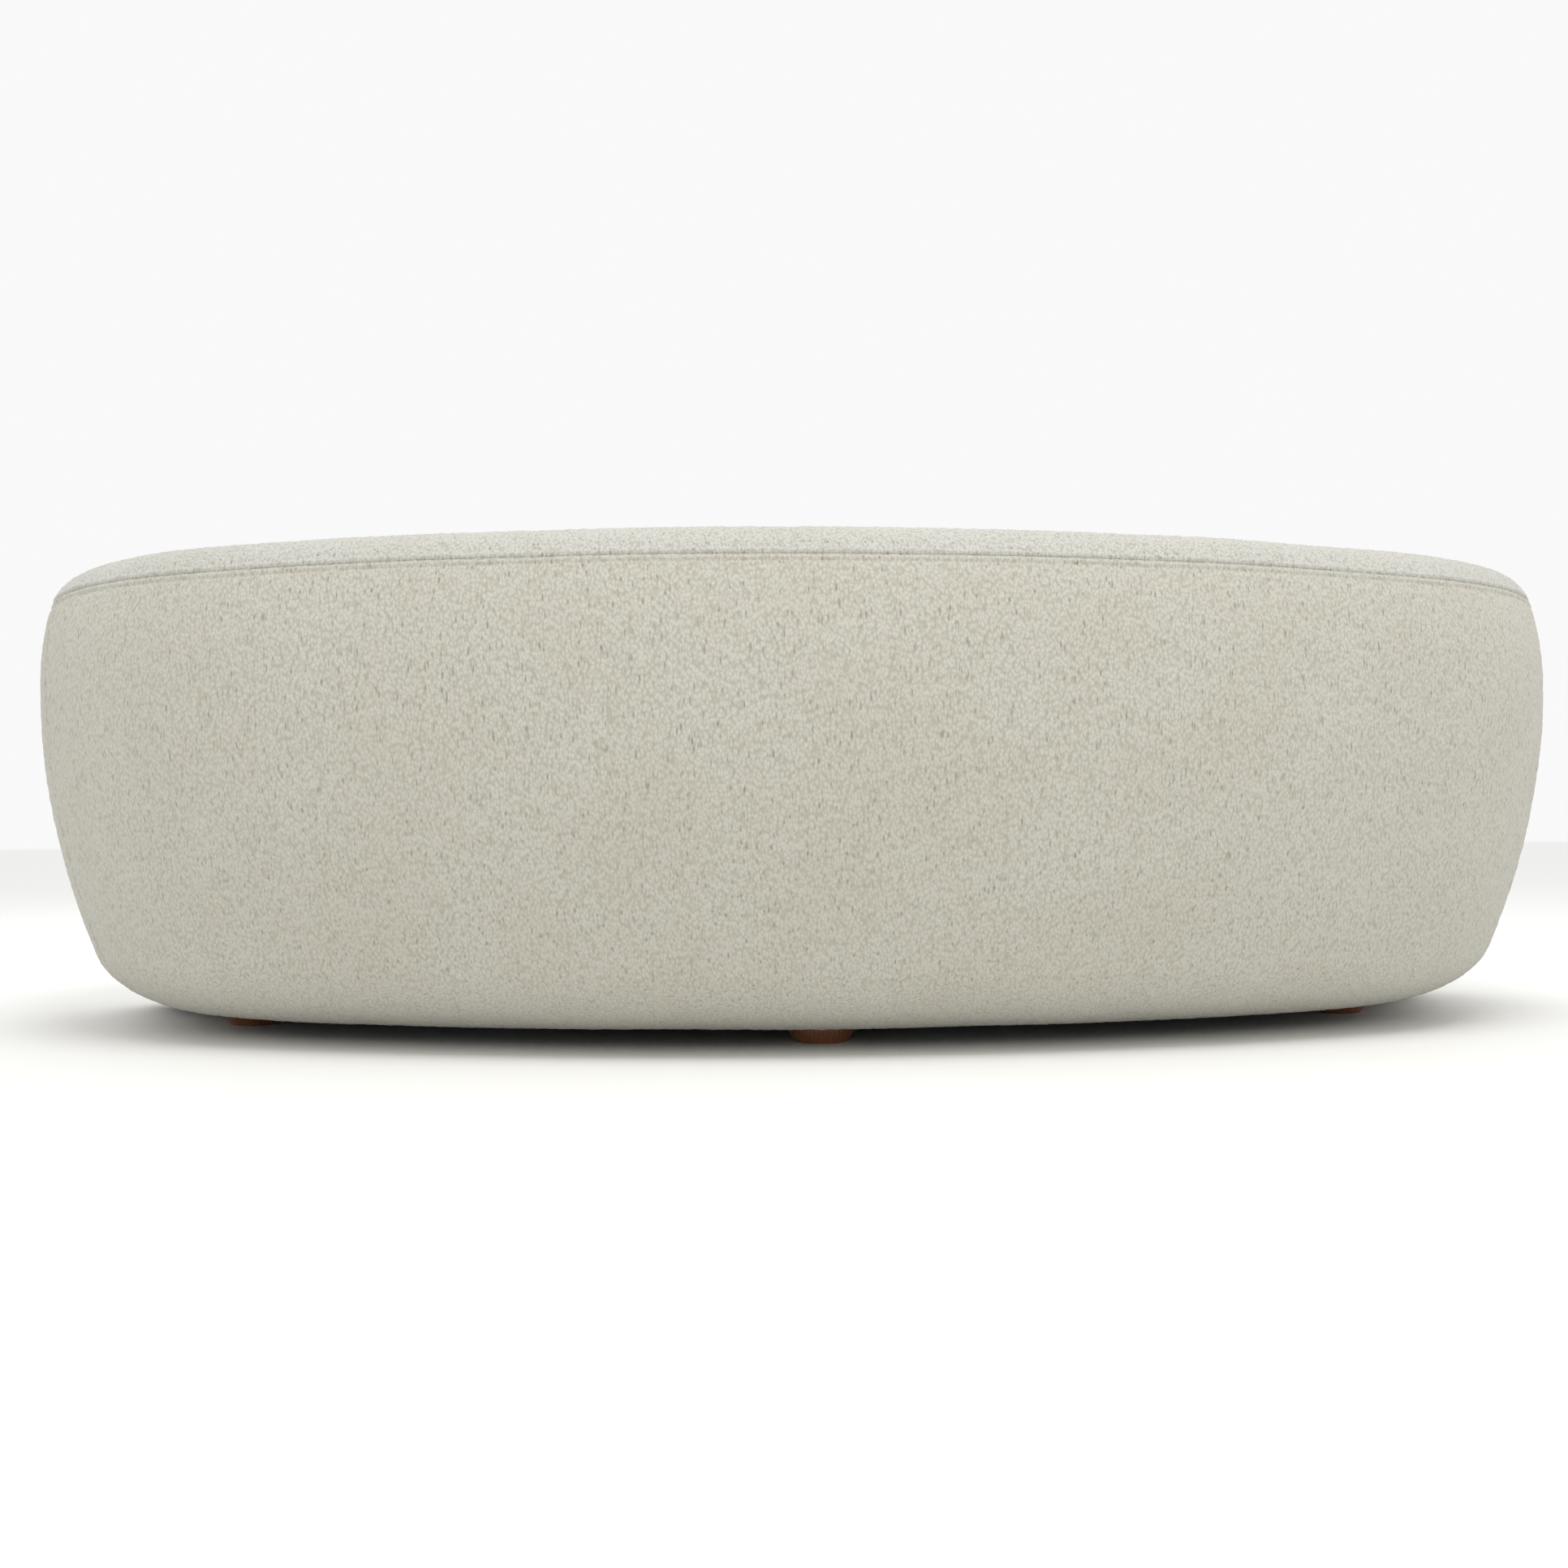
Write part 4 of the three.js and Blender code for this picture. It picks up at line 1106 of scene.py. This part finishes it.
@dataclass
class FlatCloth:
    """A flat cloth on the frame: the lining over the deck or the dust cloth under the sofa.

    Its ripples die away near its two ends, over one part in end_share of its half length.
    """

    node: Object
    name: str
    held: str
    rests_on: list[str]
    slot: str
    finish: Finish
    step: float
    ripple: float
    ripple_size: float = 0.11
    end_share: int = 12

    def build(self) -> Object:
        """Makes the cloth to the node's own outline, with the ripples of its making.

        Returns:
            The cloth.
        """
        made = bmesh.new()
        made.from_mesh(self.node.data)
        low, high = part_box(self.node.name)
        for axis in (0, 1):
            direction = Vector((0, 0, 0))
            direction[axis] = 1
            for place in np.arange(low[axis] + self.step, high[axis], self.step):
                geometry = [*made.verts, *made.edges, *made.faces]
                point = direction * place
                bmesh.ops.bisect_plane(made, geom=geometry, plane_co=point, plane_no=direction)
        area = sum(face.calc_area() for face in made.faces if face.normal.z > 0.9)
        middle = (low + high) / 2
        reach = (high - low) / 2
        for vertex in made.verts:
            inside = min(1.0, self.end_share * (1 - abs((vertex.co.x - middle.x) / reach.x)))
            wave = noise.noise(vertex.co / self.ripple_size)
            vertex.co.z += self.ripple * (wave - 0.5) * inside
        piece = placed(piece_of(self.name, made, self.finish), "frame", self.node.name)
        log.info("%s: %.3f square metres", piece.name, area)
        return piece


# ------------------------------------------------------------------ feet and hidden parts


@dataclass
class TurnedFoot:
    """A low round foot, turned with a soft shoulder and a taper, bored for its bolt."""

    node: Object
    finish: Finish
    base_share: float = 0.83
    chamfer: float = 0.0022
    bore_radius: float = 0.0044
    bore_depth: float = 0.0124
    sides: int = 96

    def outline(self, radius: float, height: float) -> list[tuple[float, float]]:
        """Returns the turned outline as distances from the axis and heights."""
        base = radius * self.base_share
        corner = self.chamfer
        points = [(0.0, 0.0), (base * 0.5, 0.0), (base - corner, 0.0)]
        turn = np.linspace(0, math.pi / 2, 6)[1:]
        points += [(base - corner + corner * math.sin(t), corner * (1 - math.cos(t))) for t in turn]
        share = np.linspace(0, 1, 18)[1:]
        side = height - 2 * corner
        points += [(base + (radius - base) * math.sin(s * math.pi / 2), corner + side * s) for s in share]
        low = height - corner
        points += [(radius - corner * (1 - math.cos(t)), low + corner * math.sin(t)) for t in turn]
        points += [(radius * 0.6, height), (self.bore_radius, height)]
        bottom = height - self.bore_depth
        return points + [(self.bore_radius, bottom), (0.0, bottom)]

    def build(self) -> Object:
        """Turns the foot on its axis.

        Returns:
            The foot.
        """
        low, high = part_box(self.node.name)
        middle = (low + high) / 2
        outline = self.outline((high.x - low.x) / 2, high.z)
        made = bmesh.new()
        line = [made.verts.new((radius, 0, z)) for radius, z in outline]
        edges = [made.edges.new(pair) for pair in zip(line, line[1:])]
        bmesh.ops.spin(
            made, geom=line + edges, cent=(0, 0, 0), axis=(0, 0, 1), angle=2 * math.pi,
            steps=self.sides, use_merge=True,
        )
        bmesh.ops.remove_doubles(made, verts=made.verts, dist=1e-6)
        bmesh.ops.recalc_face_normals(made, faces=made.faces)
        bmesh.ops.translate(made, verts=made.verts, vec=(middle.x, middle.y, 0))
        piece = piece_of(f"{self.node.name}_turned", made, self.finish)
        return placed(piece, "frame", self.node.name)


@dataclass
class HiddenFrame:
    """The timber frame, the springs and the foot bolts, which keep their shape from the frame."""

    nodes: dict[str, Object]
    plywood: Finish
    spring_steel: Finish
    zinc: Finish

    def build(self) -> None:
        """Gives each rail, rib, board, spring, bolt and nut its finish."""
        finishes = {
            "_rail": self.plywood,
            "_rib": self.plywood,
            "_board": self.plywood,
            "seat_spring": self.spring_steel,
            "_bolt": self.zinc,
            "_tnut": self.zinc,
        }
        for name, node in sorted(self.nodes.items()):
            finish = next((f for word, f in finishes.items() if word in name), None)
            if finish is None:
                continue
            node.data.materials.clear()
            node.data.materials.append(finish.material())
            if finish is self.spring_steel:
                node.data.shade_smooth()
            log.info("%s: %s", name, finish.name)


# ------------------------------------------------------------------ other finishes


@dataclass(frozen=True)
class PlainWeave(Finish):
    """Woven polyester or cotton lining.

    Two sets of threads cross over and under each other, so the cloth has a fine even grid of
    small raised squares. The threads are drawn coarser than the real 0.6 mm, so that they show.
    """

    thread: str = "#cfcabb"
    # Painted shade between the threads, which the slubs also mix in at random.
    between_thread_shade_and_slubs: str = "#a8a292"
    thread_pitch: float = 0.0022
    slubs_per_metre: float = 60.0
    rough: float = 0.85

    def shade(self, tree: NodeTree) -> Node:
        """Adds the crossing threads, with painted shade between them."""
        place = add(tree, "TexCoord", {}, {}).outputs["Object"]
        waves = [
            add(
                tree, "TexWave",
                {
                    "bands_direction": axis, "Scale": WAVE_LENGTH / self.thread_pitch,
                    "Distortion": 0.6, "Detail": 1.0,
                },
                {"Vector": place},
            )
            for axis in ("X", "Y")
        ]
        height = add(
            tree, "Math", {"operation": "MAXIMUM"},
            {0: waves[0].outputs["Fac"], 1: waves[1].outputs["Fac"]},
        )
        slubs = add(
            tree, "TexNoise", {"Scale": self.slubs_per_metre, "Detail": 4.0},
            {"Vector": place},
        )
        mixed = add(
            tree, "Math", {"operation": "MULTIPLY"},
            {0: height.outputs["Value"], 1: slubs.outputs["Fac"]},
        )
        share = add(
            tree, "MapRange", {"From Min": 0.1, "From Max": 0.6},
            {"Value": mixed.outputs["Value"]},
        )
        # The first colour is painted shade between the threads, also mixed in at random by the slubs.
        colour = add(
            tree, "Mix", {"data_type": "RGBA", 6: linear(self.between_thread_shade_and_slubs), 7: linear(self.thread)},
            {0: share.outputs["Result"]},
        )
        return self.surfaced(
            tree, {"Base Color": colour.outputs[2]}, height.outputs["Value"],
            {"Strength": 0.5, "Distance": 0.0006}, {"Roughness": self.rough, "Sheen Weight": 0.1},
        )


@dataclass(frozen=True)
class SpunDustCloth(Finish):
    """Black spunbonded polypropylene: matted fibres with a grid of small pressed bond points."""

    fibre: str = "#2b2b2e"
    bond: str = "#17171a"
    bond_pitch: float = 0.0030
    fibres_per_metre: float = 900.0

    def shade(self, tree: NodeTree) -> Node:
        """Adds the matted fibres and the bond points."""
        place = add(tree, "TexCoord", {}, {}).outputs["Object"]
        bonds = add(
            tree, "TexVoronoi", {"Scale": 1 / self.bond_pitch, "Randomness": 0.15},
            {"Vector": place},
        )
        fibres = add(
            tree, "TexNoise", {"Scale": self.fibres_per_metre, "Detail": 3.0, "Distortion": 1.2},
            {"Vector": place},
        )
        share = add(
            tree, "MapRange", {"From Min": 0.15, "From Max": 0.4},
            {"Value": bonds.outputs["Distance"]},
        )
        colour = add(
            tree, "Mix", {"data_type": "RGBA", 6: linear(self.bond), 7: linear(self.fibre)},
            {0: share.outputs["Result"]},
        )
        height = add(
            tree, "Math", {"operation": "MULTIPLY_ADD", 1: 0.3},
            {0: fibres.outputs["Fac"], 2: share.outputs["Result"]},
        )
        return self.surfaced(
            tree, {"Base Color": colour.outputs[2]}, height.outputs["Value"],
            {"Strength": 0.4, "Distance": 0.0004}, {"Roughness": 0.7},
        )


@dataclass(frozen=True)
class OpenCellFoam(Finish):
    """Open-cell polyurethane foam, sawn to shape, so its cut cells leave a fine pitted face."""

    wall: str = "#efe2b6"
    # Painted shade in the pits of the cut cells, and the colour of aged, yellowed foam.
    cell_hollow_shade_and_yellowing: str = "#c9b98a"
    cell: float = 0.0022
    yellowing_per_metre: float = 7.0

    def shade(self, tree: NodeTree) -> Node:
        """Adds the cut cells, with painted shade in their pits, and a slow yellowing."""
        place = add(tree, "TexCoord", {}, {}).outputs["Object"]
        cells = add(tree, "TexVoronoi", {"Scale": 1 / self.cell}, {"Vector": place})
        age = add(
            tree, "TexNoise", {"Scale": self.yellowing_per_metre, "Detail": 3.0},
            {"Vector": place},
        )
        share = add(
            tree, "Math", {"operation": "MULTIPLY"},
            {0: cells.outputs["Distance"], 1: age.outputs["Fac"]},
        )
        # The pits of the cells get painted shade, and aged patches yellow.
        colour = add(
            tree, "Mix", {"data_type": "RGBA", 6: linear(self.cell_hollow_shade_and_yellowing), 7: linear(self.wall)},
            {0: share.outputs["Value"]},
        )
        return self.surfaced(
            tree, {"Base Color": colour.outputs[2]}, cells.outputs["Distance"],
            {"Strength": 0.6, "Distance": 0.0008}, {"Roughness": 0.9},
        )


@dataclass(frozen=True)
class GrainedWood(Finish):
    """Wood whose year rings are cut along the grain.

    Pale and dark rings lie close together and wander, with short pores along them. Stained walnut
    is dark with a red-brown glow under a thin satin lacquer; birch plywood is pale and dry.
    """

    early: str = "#a4683f"
    late: str = "#653c26"
    ring_pitch: float = 0.0032
    pore_length: float = 0.010
    pores_per_length: float = 8.0
    stretch: tuple[float, float, float] = (1.0, 1.0, 0.12)
    rough: float = 0.38
    coat: float = 0.35

    def shade(self, tree: NodeTree) -> Node:
        """Adds the rings, the pores and the lacquer."""
        place = add(tree, "TexCoord", {}, {}).outputs["Object"]
        along = add(tree, "Mapping", {"Scale": self.stretch}, {"Vector": place})
        rings = add(
            tree, "TexWave",
            {
                "bands_direction": "X", "Scale": WAVE_LENGTH / self.ring_pitch,
                "Distortion": 5.0, "Detail": 3.0, "Detail Scale": 1.6,
            },
            {"Vector": along.outputs["Vector"]},
        )
        pores = add(
            tree, "TexNoise",
            {"Scale": self.pores_per_length / self.pore_length, "Detail": 4.0, "Roughness": 0.65},
            {"Vector": along.outputs["Vector"]},
        )
        share = add(
            tree, "Math", {"operation": "MULTIPLY"},
            {0: rings.outputs["Fac"], 1: pores.outputs["Fac"]},
        )
        spread = add(
            tree, "MapRange", {"From Min": 0.05, "From Max": 0.6},
            {"Value": share.outputs["Value"]},
        )
        colour = add(
            tree, "Mix", {"data_type": "RGBA", 6: linear(self.late), 7: linear(self.early)},
            {0: spread.outputs["Result"]},
        )
        return self.surfaced(
            tree, {"Base Color": colour.outputs[2]}, pores.outputs["Fac"],
            {"Strength": 0.25, "Distance": 0.0003},
            {"Roughness": self.rough, "IOR": 1.5, "Coat Weight": self.coat, "Coat Roughness": 0.25},
        )


@dataclass(frozen=True)
class DrawnMetal(Finish):
    """Drawn or plated steel: fine die lines along the wire and a slightly mottled skin."""

    bright: str = "#b4b6b8"
    dull: str = "#7f8286"
    rough: float = 0.34
    mottle: float = 0.006
    lines_per_metre: float = 1400.0

    def shade(self, tree: NodeTree) -> Node:
        """Adds the mottled skin and the die lines."""
        place = add(tree, "TexCoord", {}, {}).outputs["Object"]
        skin = add(tree, "TexNoise", {"Scale": 1 / self.mottle, "Detail": 5.0}, {"Vector": place})
        lines = add(
            tree, "TexNoise", {"Scale": self.lines_per_metre, "Detail": 1.0},
            {"Vector": place},
        )
        colour = add(
            tree, "Mix", {"data_type": "RGBA", 6: linear(self.dull), 7: linear(self.bright)},
            {0: skin.outputs["Fac"]},
        )
        return self.surfaced(
            tree, {"Base Color": colour.outputs[2]}, lines.outputs["Fac"],
            {"Strength": 0.1, "Distance": 0.0001}, {"Metallic": 1.0, "Roughness": self.rough},
        )


@dataclass(frozen=True)
class PaintedFloor(Finish):
    """Matt white paint on a smooth floor, with the faint stipple of the roller."""

    paint: str = "#f4f4f2"
    stipple: float = 0.004

    def shade(self, tree: NodeTree) -> Node:
        """Adds the roller's stipple."""
        place = add(tree, "TexCoord", {}, {}).outputs["Object"]
        dots = add(tree, "TexNoise", {"Scale": 1 / self.stipple, "Detail": 2.0}, {"Vector": place})
        return self.surfaced(
            tree, {}, dots.outputs["Fac"],
            {"Strength": 0.05, "Distance": 0.0005},
            {"Base Color": linear(self.paint), "Roughness": 0.8, "Specular IOR Level": 0.2},
        )


# ------------------------------------------------------------------ studio


@dataclass
class Studio:
    """A pale floor, soft light and the camera, which stands behind the sofa and looks along -Y."""

    floor: Finish
    eye: tuple[float, float, float] = (0.181, 2.528, 0.295)
    yaw: float = -0.0569
    pitch: float = 0.0289
    roll: float = -0.0046
    focal_length: float = 37.27
    sensor: float = 36.0
    floor_size: float = 60.0
    sky: float = 0.95
    aim: tuple[float, float, float] = (0.0, 0.0, 0.35)
    soft_boxes: tuple[tuple[tuple[float, float, float], float, float], ...] = (
        ((-0.3, 1.9, 4.0), 2.2, 72.0),
        ((0.5, -3.0, 3.6), 3.0, 30.0),
    )

    def build(self) -> None:
        """Makes the camera, the floor and the lights."""
        self.add_camera()
        self.add_floor()
        self.add_lights()

    def add_camera(self) -> None:
        """Makes the scene's camera."""
        lens = bpy.data.cameras.new("camera")
        lens.sensor_width = self.sensor
        lens.lens = self.focal_length
        camera = linked("camera", lens)
        turned = Matrix.Rotation(math.pi + self.yaw, 4, "Z")
        facing = turned @ Matrix.Rotation(math.pi / 2 + self.pitch, 4, "X")
        rolled = facing @ Matrix.Rotation(self.roll, 4, "Z")
        camera.matrix_world = Matrix.Translation(self.eye) @ rolled
        bpy.context.scene.camera = camera

    def add_floor(self) -> None:
        """Makes the floor."""
        half = self.floor_size / 2
        mesh = bpy.data.meshes.new("floor")
        corners = [(-half, -half, 0), (half, -half, 0), (half, half, 0), (-half, half, 0)]
        mesh.from_pydata(corners, [], [(0, 1, 2, 3)])
        mesh.materials.append(self.floor.material())
        linked("floor", mesh)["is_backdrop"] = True

    def add_lights(self) -> None:
        """Makes an even white sky and the soft boxes, which face the middle of the sofa."""
        world = bpy.data.worlds.new("sky")
        world.use_nodes = True
        world.node_tree.nodes["Background"].inputs["Color"].default_value = (1, 1, 1, 1)
        world.node_tree.nodes["Background"].inputs["Strength"].default_value = self.sky
        bpy.context.scene.world = world
        for number, (place, size, power) in enumerate(self.soft_boxes, 1):
            lamp = bpy.data.lights.new(f"soft_box_{number}", "AREA")
            lamp.shape = "DISK"
            lamp.size = size
            lamp.energy = power
            light = linked(lamp.name, lamp)
            light.location = place
            aim = Vector(self.aim) - Vector(place)
            light.rotation_euler = aim.to_track_quat("-Z", "Y").to_euler()


# ------------------------------------------------------------------ the sofa


def main() -> None:
    """Builds the sofa round the frame, in order, with the wall as tall as the frame."""
    logging.basicConfig(level=logging.INFO, format="%(name)s: %(message)s")
    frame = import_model()
    nodes = frame["nodes"]
    cad_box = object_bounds()
    bpy.context.scene.view_settings.view_transform = "Standard"
    Studio(PaintedFloor("painted_floor")).build()

    pile_cloth = TeddyPile("ivory_pile")
    # Painted light: a lighter, less yellow copy of the ivory pile for the up-facing top band.
    band_pile_painted_light = TeddyPile("ivory_pile_band", curl="#c8c7c0", nap_shade="#c2c1b9")
    foam = OpenCellFoam("open_cell_foam")
    walnut = GrainedWood("stained_walnut")
    birch = GrainedWood(
        "birch_plywood", early="#dcbf92", late="#b98f5c", ring_pitch=0.006,
        pore_length=0.02, stretch=(0.2, 1.0, 1.0), rough=0.7, coat=0.0,
    )
    cloth = ClothMaker(Pile(), Seam(), pile_cloth)
    band_cloth = ClothMaker(Pile(), Seam(), band_pile_painted_light)
    UpholsteredWall(WallPlan(height=cad_box[1].z), cloth, band_cloth).build()
    for side in Side:
        word = side.name.lower()
        core = nodes[f"{word}_cushion_core"]
        SeatCushion(side, core, cloth).build()
        FoamBlock(core, f"{word}_cushion", foam, inset=0.014).build()
        FoamBlock(nodes[f"{word}_arm_foam"], "frame", foam).build()
    for name in ("back_foam", "front_border_foam", "deck_foam"):
        FoamBlock(nodes[name], "frame", foam).build()
    lining = PlainWeave("deck_lining")
    FlatCloth(
        nodes["deck_cover"], "deck_lining_cloth", "stretched", ["deck_foam"], "lining_fabric",
        lining, step=0.018, ripple=0.0008,
    ).build()
    dust = SpunDustCloth("dust_cloth")
    FlatCloth(
        nodes["dust_cover"], "underside_dust_cloth", "stretched", ["back_bottom_rail"],
        "dust_fabric", dust, step=0.024, ripple=0.0008,
    ).build()
    for name in sorted(nodes):
        if name.endswith("_foot"):
            TurnedFoot(nodes[name], walnut).build()
    spring_steel = DrawnMetal("spring_wire", bright="#8d8f91", dull="#5a5c5f")
    zinc = DrawnMetal("zinc_plate", bright="#c9ccd0", dull="#9a9ea4", rough=0.28)
    HiddenFrame(nodes, birch, spring_steel, zinc).build()


if __name__ == "__main__":
    main()
